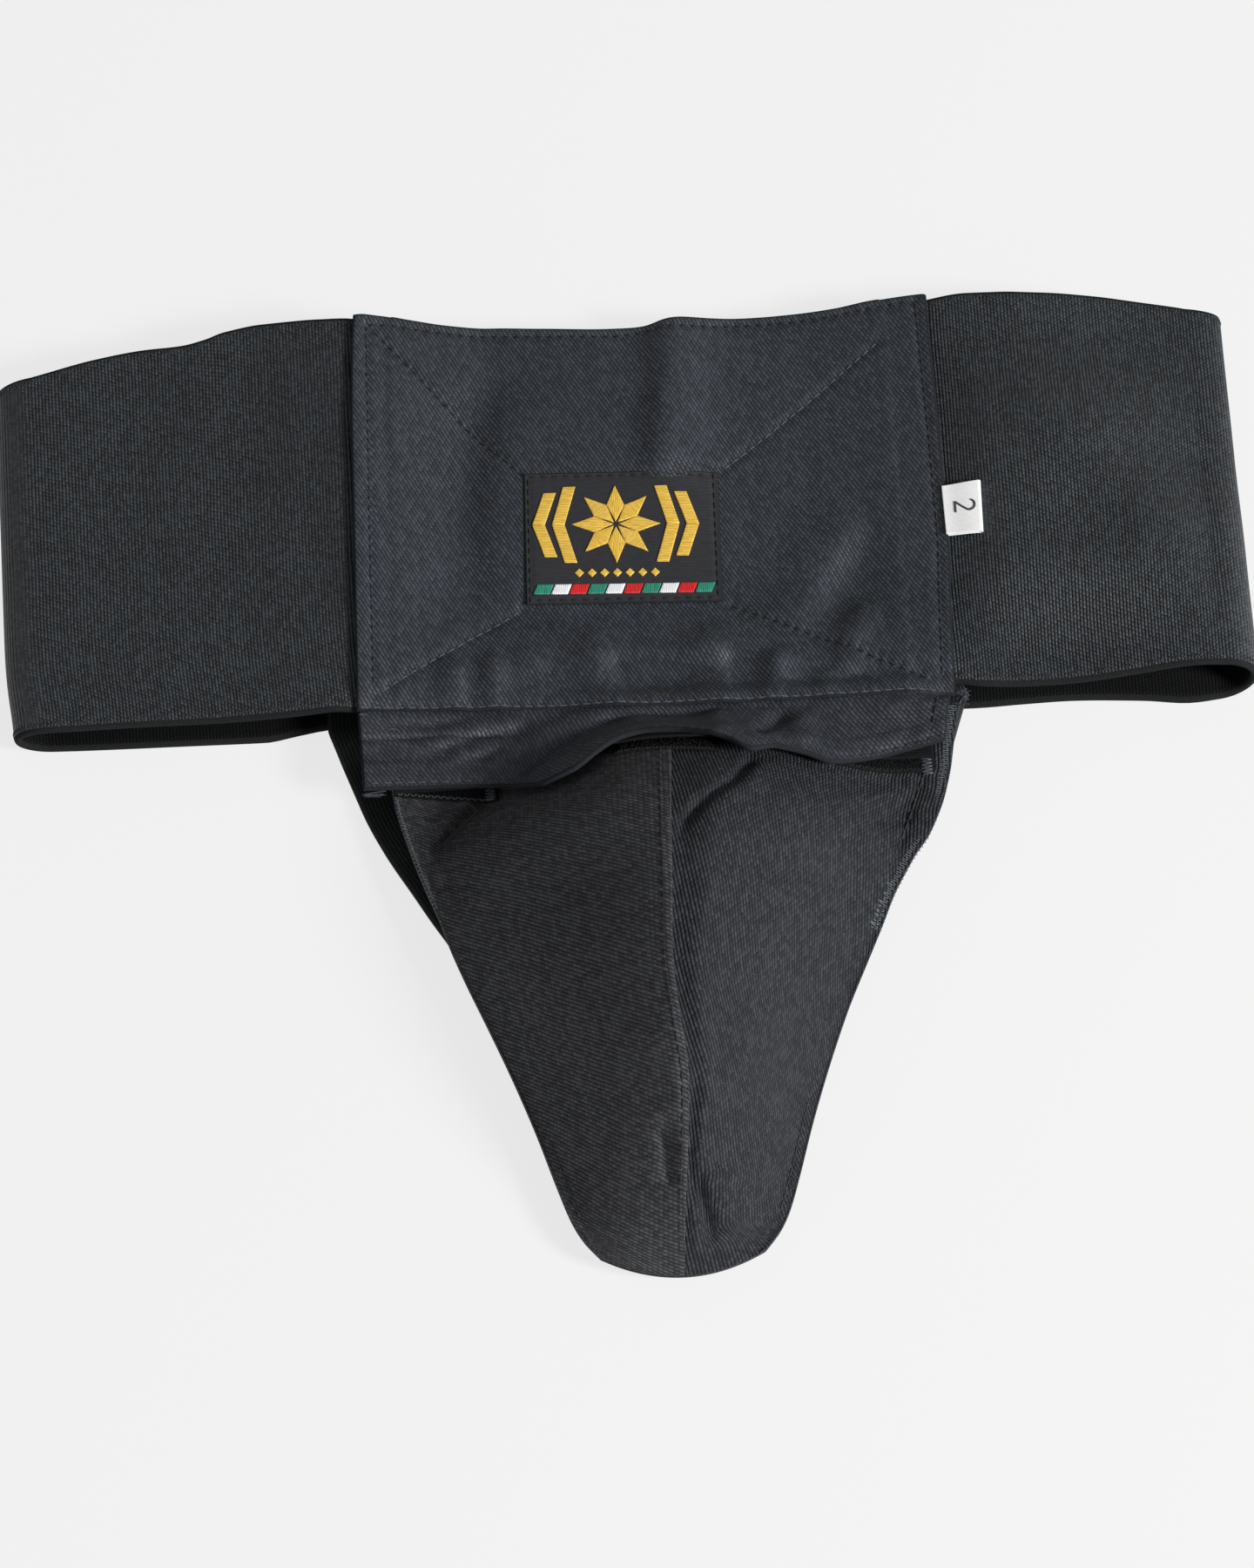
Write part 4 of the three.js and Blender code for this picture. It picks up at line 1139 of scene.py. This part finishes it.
# Hook and loop patches
LOOP_SLIDES = {"left": (0, 3.6), "centre": (3.4, 5.6), "right": (2.6, 2.9)}  # how far down each end is sewn
TAPE_LIFT = 0.3
TAPE_TOP = 0.65
PILE_FOOT = 0.55
PILES = {  # pitch, wander, and a thread's places along its lean and out of the tape
    "hook": (1.05, 0.08, [(0, -0.05), (0, 0.3), (0.05, 0.52), (0.2, 0.62), (0.35, 0.52), (0.38, 0.4)]),
    "loop": (0.8, 0.32, [(-0.35, -0.05), (-0.3, 0.25), (-0.1, 0.42), (0.15, 0.42), (0.35, 0.2),
                         (0.4, -0.05)]),
}


def patch_middle(middle_x, level, lift, kind, place):
    """Middle of a patch that lies on a level, or hangs under it where lift is below 0."""
    slides = LOOP_SLIDES[place] if kind == "loop" else (0, 0)

    def at(a, b):
        x = middle_x + a - PATCH_WIDTH / 2
        down = PATCH_HEIGHT - b + lerp(*slides, a / PATCH_WIDTH)
        y = y_after(pouch_top_at, x, MOUTH_Y - PATCH_START, down)
        return np.stack([x, y, level(x, y) + lift], -1)

    return at


def patch_pile(name, kind, at, up, material, body, seed):
    """Small hooks, or tangled loops, all over a patch."""
    rng = np.random.default_rng(seed)
    pitch, wander, shape = PILES[kind]
    a, b = np.meshgrid(*(np.arange(1.6, side - 1.4, pitch) for side in (PATCH_WIDTH, PATCH_HEIGHT)))
    a = a.ravel() + rng.uniform(-wander, wander, a.size)
    b = b.ravel() + rng.uniform(-wander, wander, b.size)
    foot = at(a, b)
    along_x = unit(at(a + 0.3, b) - foot)
    along_y = unit(at(a, b + 0.3) - foot)
    out = unit(np.cross(along_x, along_y)) * up
    if kind == "hook":
        turn = np.where(np.arange(a.size) % 2, 0.2, math.pi - 0.2)
    else:
        turn = rng.uniform(0, 2 * math.pi, a.size)
    lean = along_x * np.cos(turn)[:, None] + along_y * np.sin(turn)[:, None]
    path = np.stack([foot + lean * p + out * q for p, q in shape], 1)
    pile = threads(name, path, np.cross(lean, out) + 1e-6, material, 0.07, body=body, sides=4)
    return pile


def patches():
    kinds = (("loop", "pouch_loop", "garment", pouch_top_at, 1, LOOP_TAPE, LOOP_THREAD, 40),
             ("hook", "flap_hook", "flap", flap_under, -1, HOOK_TAPE, HOOK_THREAD, 50))
    for i, (place, middle_x) in enumerate(PATCH_PLACES.items()):
        tapes = []
        for kind, start, body, level, up, look, _, _ in kinds:
            middle = patch_middle(middle_x, level, up * (GAP + TAPE_LIFT), kind, place)
            tapes.append(dressed(f"{start}_tape_{place}", f"{start}_patch_{place}", f"{kind}_tape", middle,
                                 (PATCH_WIDTH, PATCH_HEIGHT), (1, 1), PATCH_THICK, look, body, PRESSED,
                                 rim_look=TAPE_RIM_PAINTED_SHADE))
        for tape, (kind, start, body, level, up, _, look, seed) in zip(tapes, kinds):
            foot = patch_middle(middle_x, level, up * (GAP + PILE_FOOT), kind, place)
            pile = patch_pile(f"{start}_pile_{place}", kind, foot, up, look, body, seed + i)


def patch_top_level(x, y):
    return pouch_top_at(x, y) + GAP + TAPE_TOP


def patch_sewing():
    """A close row along each loop patch's lower edge, and a bartack at an end of the outer two."""
    a = np.linspace(0.6, PATCH_WIDTH - 0.6, 30)
    rows = [patch_middle(middle_x, pouch_top_at, 0, "loop", place)(a, 0.7)[:, :2]
            for place, middle_x in PATCH_PLACES.items()]
    close = {"radius": 0.12, "length": 0.7, "pitch": 0.8, "zigzag": 0.3}
    stitches("patch_stitches_pale", patch_top_level, rows[:1], PALE_THREAD, **close)
    stitches("patch_stitches_dark", patch_top_level, rows[1:], DARK_THREAD, **close)
    ends = ((rows[0][-1], 0.3), (rows[2][-1], 1.8))
    tacks = [[(x - 1.2, y + 6.5), (x - 1.0, y - low)] for (x, y), low in ends]
    stitches("patch_bartacks", patch_top_level, tacks, PALE_THREAD, radius=0.13, length=0.3, pitch=0.42,
             zigzag=1.3)


# Pouch
POUCH_FOLDS = [  # line, height, width, width on the right, fade at both ends
    ([(-41, -77), (-49, -84), (-56, -91)], -1.5, 1.2, 1.6, (0.2, 0.25)),
    ([(-44, -75), (-52, -83), (-58, -89)], 0.9, 2.0, 2.4, (0.2, 0.3)),
    ([(-54, -96), (-45, -107)], -1.2, 4, 4, (0.3, 0.3)),
    ([(19, -77), (13.8, -87.6), (6, -95), (1.5, -101), (-0.5, -110)], -1.7, 2.2, 1.4, (0.1, 0.35)),
    ([(22, -80), (16, -90), (8, -98)], 1.0, 2.6, 3.5, (0.3, 0.3)),
    ([(-7.8, -168), (-7, -175), (-6, -184)], -1.9, 2.6, 1.5, (0.35, 0.35)),
    ([(-1.4, -177), (0.6, -185), (3.4, -193)], -2.9, 1.5, 2.1, (0.35, 0.25)),
    ([(3.4, -178), (5.5, -186), (8, -192)], 1.1, 2.2, 3, (0.35, 0.3)),
    ([(25, -150), (21, -168), (18, -180)], -0.7, 2.6, 2.6, (0.3, 0.3)),
    ([(40, -92), (38, -105), (35, -120)], -0.8, 3, 3, (0.3, 0.3)),
    ([(58, -80), (46, -86), (36, -88)], 0.8, 2, 2.4, (0.2, 0.4)),
    ([(57, -86), (48, -91), (40, -94)], -0.7, 2, 2, (0.2, 0.4)),
    ([(-24, -130), (-20, -160), (-14, -185)], 0.5, 5, 5, (0.3, 0.3)),
    ([(-30, -140), (-25, -165)], -0.5, 4, 4, (0.3, 0.3)),
]

seam_edge = profile(
    (0, 1.3), (0.4, 1.3), (0.56, 0.7), (0.66, 1.6), (0.75, 2.7), (0.83, 2), (0.93, 0.6), (1, 0),
)
edge_flare = profile((0, 3), (0.06, 3), (0.145, 3.8), (0.195, 4.3), (0.244, 3.9), (0.29, 2.2), (0.36, 1.1),
                     (0.46, 0.5), (0.6, 0))


def full_dome(along, across):
    """The dome with its foot let out to the edge below the patches, where the cloth has no flat margin."""
    let_out = SEAM_MARGIN * 0.8 * smooth((along - 0.16) / 0.16) / pouch_half(along)
    return dome_share(along, across * (1 - let_out))


def pouch_skin(along, across):
    """Middle of the pouch's cloth before its seams are shaped."""
    x, y = seam_point(along, across)
    z = liner_level(x, y) + GAP + CLOTH_THICK / 2 + POUCH_CROWN * full_dome(along, across)
    inside = smooth((1 - np.abs(across)) * pouch_half(along) / 3)
    return np.stack([x, y, z + creased(x, y, POUCH_FOLDS) * inside], -1)


# Heights of the cloth beside the centre seam, in mm
LEFT_RIDGE = 0.55
TIP_RIDGE = 1.2
BULGE = 1.9
TIP_BULGE = 0.6
GROOVE = 0.7


def seam_ridge(along):
    return TIP_RIDGE * smooth((along - 0.55) / 0.2) * smooth((1 - along) / 0.06)


def left_ridge(along, past_seam):
    return (LEFT_RIDGE + seam_ridge(along)) * clamp01(1 + past_seam / 9) ** 2


def pouch_bulge(along, across, past_seam):
    """How far the right panel stands above the cup past the centre seam, which draws it into a groove."""
    before_tip = smooth((1 - along) / 0.06)
    height = BULGE + TIP_BULGE * smooth((along - 0.55) / 0.25)
    height = height * smooth((along - 0.12) / 0.2) * before_tip
    height = height * (1 - smooth((np.abs(across) - 0.45) / 0.5))
    run = 11 - 6.5 * smooth((along - 0.2) / 0.5) - 2.2 * smooth((along - 0.72) / 0.15)
    return lerp(seam_ridge(along) - GROOVE * before_tip, height, smooth((past_seam - 0.4) / run))


def pouch_panel_middle(side):
    """Middle of the left or right panel. The right one starts a little under the left one's edge."""
    def at(a, b):
        out = a / POUCH_TOP_HALF
        along = 1 - b / POUCH_LENGTH
        half, edge = pouch_half(along), seam_edge(along)
        if side < 0:
            across = lerp(edge / half, -1, 1 - out)
        else:
            across = lerp((edge - 2) / half, 1 + edge_flare(along) / half, out)
        points = pouch_skin(along, across)
        past_seam = across * half - edge
        points[..., 2] += left_ridge(along, past_seam) if side < 0 else pouch_bulge(along, across, past_seam)
        return points

    return at


def pouch_marks(side):
    def at(points):
        arc = run_lengths(points)
        if side < 0:
            arc = arc - arc[:, -1:]
        run = run_lengths(points[:, -1 if side < 0 else 0])
        return np.stack([arc, np.broadcast_to(run[:, None], arc.shape)], -1)

    return at


EDGE_ROW_INSET = 2.4
THREAD_LIFT = 0.1
OVERLOCK_LIFT = 0.15


def pouch_edge_row(side):
    """The row of stitches along the pouch's outer edge."""
    along = np.linspace(0, 0.93, 40)
    return np.stack(seam_point(along, side * (1 - EDGE_ROW_INSET / pouch_half(along))), -1)


def pouch_fat(side):
    row = pouch_edge_row(side)

    def at(points, a, b):
        from_seam = POUCH_TOP_HALF - a if side < 0 else a
        hem = 0.3 * smooth((from_seam / POUCH_TOP_HALF - 0.9) / 0.03)
        return hem + sewn(points[..., 0], points[..., 1], row, width=0.9)

    return at


def above_pouch(lift):
    """A level at a height above the pouch's top, for threads that lie on it."""
    def level(x, y):
        along = along_at(y)
        for _ in range(3):
            across = across_at(x, along)
            along = (MOUTH_Y - y) / (POUCH_LENGTH - TIP_ROUND * across * across)
        across = np.clip(across_at(x, along), -1, 1)
        past_seam = across * pouch_half(along) - seam_edge(along)
        bulge = np.where(past_seam > 0, pouch_bulge(along, across, past_seam), left_ridge(along, past_seam))
        return pouch_skin(along, across)[..., 2] + CLOTH_THICK / 2 + bulge + lift

    return level


def pouch_fronts():
    level = above_pouch(THREAD_LIFT)
    for side, name, material in ((-1, "left", POUCH_LEFT_PAINTED_LIGHTER), (1, "right", POUCH_RIGHT_PAINTED_DARKER)):
        panel = dressed(f"pouch_cloth_{name}", f"pouch_front_{name}", "pouch_twill", pouch_panel_middle(side),
                        (POUCH_TOP_HALF, POUCH_LENGTH), (0.7, 0.9), CLOTH_THICK, material,
                        fat=pouch_fat(side), uv=pouch_marks(side))
        stitches(f"pouch_edge_stitches_{name}", level, [pouch_edge_row(side)], SELVAGE)
    share = np.linspace(0.02, 0.985, 60)
    seam_x = axis_x(share) + seam_edge(share) - lerp(2.7, 1.2, share)
    seam = np.stack([seam_x, MOUTH_Y - share * POUCH_LENGTH], -1)
    stitches("pouch_seam_stitches", level, [seam], DARK_THREAD)


def overlock():
    """Close zigzag threads over the pouch's open side edges, below the flap's ends."""
    for side, name, last, wide in ((-1, "left", 0.34, 0.6), (1, "right", 0.42, 1.6)):
        along = np.linspace(0.0, last, 40)
        past_edge = edge_flare(along) - 1.7 if side > 0 else -0.7
        line = np.stack(seam_point(along, side * (1 + past_edge / pouch_half(along))), -1)
        stitches(f"pouch_overlock_{name}", above_pouch(OVERLOCK_LIFT), [line], OVERLOCK_THREAD, radius=0.15,
                 length=0.5, pitch=0.58, zigzag=wide)


# Liner and leg straps
LINER_LENGTH = POUCH_LENGTH + 15
STRAP_LENGTH = 145


def liner_middle(a, b):
    along = lerp(1, along_at(BAND_LOW + LINER_OVERLAP), b / LINER_LENGTH)
    x, y = seam_point(along, a / POUCH_TOP_HALF - 1)
    return np.stack([x, y, liner_level(x, y) - CLOTH_THICK / 2], -1)


def pouch_liner():
    liner = dressed("liner_cloth", "pouch_liner", "lining", liner_middle, (2 * POUCH_TOP_HALF, LINER_LENGTH),
                    (2, 1.6), CLOTH_THICK, LINING, uv=in_plan)


strap_spread = profile(
    (0, 1), (0.06, 0.947), (0.12, 0.898), (0.17, 0.856), (0.235, 0.786), (0.27, 0.742), (0.31, 0.688),
    (0.37, 0.609), (0.414, 0.547), (0.55, 0.36), (0.7, 0.193), (0.85, 0.07), (1, 0),
)


def strap_outer(y):
    to_tip = clamp01((BAND_LOW - y) / (BAND_LOW - STRAP_TIP_Y))
    return lerp(STRAP_TIP_OUTER, STRAP_OUTER, strap_spread(to_tip))


def strap_inner(y):
    slope = strap_outer(y + 0.5) - strap_outer(y - 0.5)
    return strap_outer(y) - STRAP_WIDTH * np.hypot(1, slope)


def strap_middle(side, crosses_over):
    start = BAND_LOW + STRAP_OVERLAP
    trial = np.linspace(BAND_LOW, STRAP_TIP_Y, 400)
    crossing = trial[np.argmax(strap_inner(trial) < 0)]

    def at(a, b):
        y = lerp(STRAP_TIP_Y, start, b / STRAP_LENGTH)
        out = a / STRAP_WIDTH if side > 0 else 1 - a / STRAP_WIDTH
        x = POUCH_LEAN + side * lerp(strap_inner(y), strap_outer(y), out)
        z = (BAND_THICK + GAP) * (1 - smooth((BAND_LOW - GAP - y) / STRAP_RAMP)) + STRAP_THICK / 2
        if crosses_over:
            z += (STRAP_THICK + GAP) * smooth((crossing + STRAP_RAMP + STRAP_THICK - y) / STRAP_RAMP)
        return np.stack([x, y, z], -1)

    return at


def leg_straps():
    for side, name in ((-1, "left"), (1, "right")):
        middle = strap_middle(side, side > 0)
        strap = dressed(f"leg_strap_elastic_{name}", f"leg_strap_{name}", "elastic", middle,
                        (STRAP_WIDTH, STRAP_LENGTH), (1.2, 1.4), STRAP_THICK, STRAP)


# Cup, kept from the CAD with finer looks
def cup_looks():
    plastic = grained("cup_plastic", linear(206, 208, 210), linear(226, 228, 229), 0.38, 0.45, scale=900,
                      relief=0.00005)
    rubber = thread_look("bead_rubber", (34, 34, 36), roughness=0.65)
    for node, material in (("cup_shell", plastic), ("cup_bead", rubber)):
        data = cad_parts[node].data
        data.materials.clear()
        data.materials.append(material)


# Threads that came loose, fluff and lint
FLAP_CORNER_Y = -75.4
TUFT_START = np.array([68.6, -58.6, 13.0])
TUFT_COUNT = 110
FRAYED_COUNT = 7
LINT_COUNT = 150
ALONG_THREAD = np.linspace(0, 1, 7)


def tuft(rng):
    """A small grey tuft at the end of the flap's seam."""
    paths = []
    for _ in range(TUFT_COUNT):
        heading, rise = rng.uniform(-1.2, 1.3), rng.uniform(-0.2, 1.0)
        curl, size = rng.uniform(-2.6, 2.6), rng.uniform(1.0, 2.2)
        angle = heading + curl * ALONG_THREAD
        up = rise * np.sin(math.pi * ALONG_THREAD) - 0.25 * ALONG_THREAD
        steps = np.stack([np.cos(angle), np.sin(angle), up], -1) * size / 6
        paths.append(TUFT_START + rng.normal(0, 0.35, 3) + np.cumsum(steps, 0))
    threads("seam_tuft", np.array(paths), UPWARDS, TUFT_THREAD, 0.11, (1, 1, 1, 1, 1, 0.8, 0.4), sides=4)


def curled(x, y, heading, curl, step_x, step_y, level, lift):
    """A thread that turns as it runs on over a level."""
    angle = heading + curl * ALONG_THREAD
    x = x + np.cumsum(np.cos(angle)) * step_x
    y = y + np.cumsum(np.sin(angle)) * step_y
    return np.stack([x, y, level(x, np.minimum(y, SEAM_Y - 1)) + lift], -1)


def loose_threads():
    """Two thread ends that lie on the flap's left end."""
    paths = [curled(x, y, heading, curl, size / 7, size / 7, flap_top_level, 0.15)
             for x, y, heading, curl, size in ((-64.8, -60.8, 0.5, -1.3, 3.0), (-69.4, -57, 2.2, 1.4, 2.0))]
    threads("loose_threads", np.array(paths), UPWARDS, PALE_THREAD, 0.12, sides=5)


def frayed_threads(rng):
    """Short ends at the flap's lower left corner."""
    paths = []
    for _ in range(FRAYED_COUNT):
        heading, curl = rng.uniform(-0.1, 0.25), rng.uniform(-0.3, 0.3)
        x, step_x = rng.uniform(-72.2, -70.5), rng.uniform(0.6, 0.9)
        y = FLAP_CORNER_Y - rng.uniform(0.1, 0.9)
        paths.append(curled(x, y, heading, curl, step_x, 0.7, flap_level, -FLAP_THICK * 0.75))
    threads("flap_frayed_threads", np.array(paths), UPWARDS, PALE_THREAD, 0.06, body="flap", sides=4)


def lint():
    """Short fibres scattered over the pouch."""
    rng = np.random.default_rng(7)
    x, y = seam_point(rng.uniform(0.12, 0.97, LINT_COUNT), rng.uniform(-0.92, 0.92, LINT_COUNT))
    limits = ((0, 2 * math.pi), (-1.2, 1.2), (0.15, 0.6))
    turn, bend, size = (rng.uniform(low, high, (LINT_COUNT, 1)) for low, high in limits)
    t = np.linspace(-1, 1, 5)
    arc = bend * 0.5 * t**2
    px = x[:, None] + size * (t * np.cos(turn) - arc * np.sin(turn))
    py = y[:, None] + size * (t * np.sin(turn) + arc * np.cos(turn))
    level = above_pouch(0.12)
    paths = np.stack([px, py, level(px, py) + 0.08 * (1 - t**2)], -1)
    threads("pouch_lint", paths, level_normal(level, x, y), FIBRE, 0.035, (0.5, 1, 1, 1, 0.5), sides=4)


# Floor, light and camera
FLOOR_HALF = 3000
FLOOR_LEVEL = -0.2
FLOOR_GLOW = 0.86


def stage():
    """A pale floor that shows evenly white and still takes a soft shadow."""
    g = Graph("floor", 0.9, specular=0.1)
    g.put(g.shader.inputs["Base Color"], linear(236, 236, 236))
    glow = g.node("ShaderNodeEmission", 0, {"Color": linear(243, 243, 243)})
    kinds = ("Is Camera Ray", "Is Glossy Ray", "Is Transmission Ray")
    rays = [g.node("ShaderNodeLightPath", kind, {}) for kind in kinds]
    seen = g.math("MAXIMUM", rays[0], g.math("MAXIMUM", *rays[1:]))
    both = g.node("ShaderNodeMixShader", 0, {0: g.times(seen, FLOOR_GLOW), 1: g.shader.outputs[0], 2: glow})
    g.put(g.nodes["Material Output"].inputs["Surface"], both)
    corners = [(x * FLOOR_HALF, y * FLOOR_HALF, FLOOR_LEVEL) for x, y in ((-1, -1), (1, -1), (1, 1), (-1, 1))]
    new_mesh("floor", np.array(corners), [np.array([[0, 1, 2, 3]])], g.material)


def lamp(name, place, target, size, watts):
    data = bpy.data.lights.new(name, "AREA")
    data.shape = "DISK"
    data.size = size
    data.energy = watts
    placed(name, data, place, target)


def light():
    world = bpy.data.worlds.new("studio")
    world.use_nodes = True
    sky = world.node_tree.nodes["Background"]
    sky.inputs["Color"].default_value = (1, 1, 1, 1)
    sky.inputs["Strength"].default_value = 0.24
    bpy.context.scene.world = world
    lamp("key", (1.45, -0.85, 1.05), (0, -0.07, 0), 0.5, 52)
    lamp("fill", (-1.25, -1.0, 0.26), (0, -0.12, 0), 0.7, 3.6)


def camera():
    data = bpy.data.cameras.new("camera")
    data.sensor_width = 36
    data.lens = 108.0
    data.clip_start, data.clip_end = 0.05, 20
    bpy.context.scene.camera = placed("camera", data, (-0.0385, -0.5861, 0.9712), (-0.0097, -0.0705, 0))


camera()
light()
stage()
bpy.context.scene.view_settings.view_transform = "Standard"
waistband()
selvage_dashes()
front_panel()
woven_label()
size_tag()
patches()
patch_sewing()
closure_flap()
pouch_fronts()
overlock()
pouch_liner()
leg_straps()
cup_looks()
draws = np.random.default_rng(11)
tuft(draws)
loose_threads()
frayed_threads(draws)
lint()
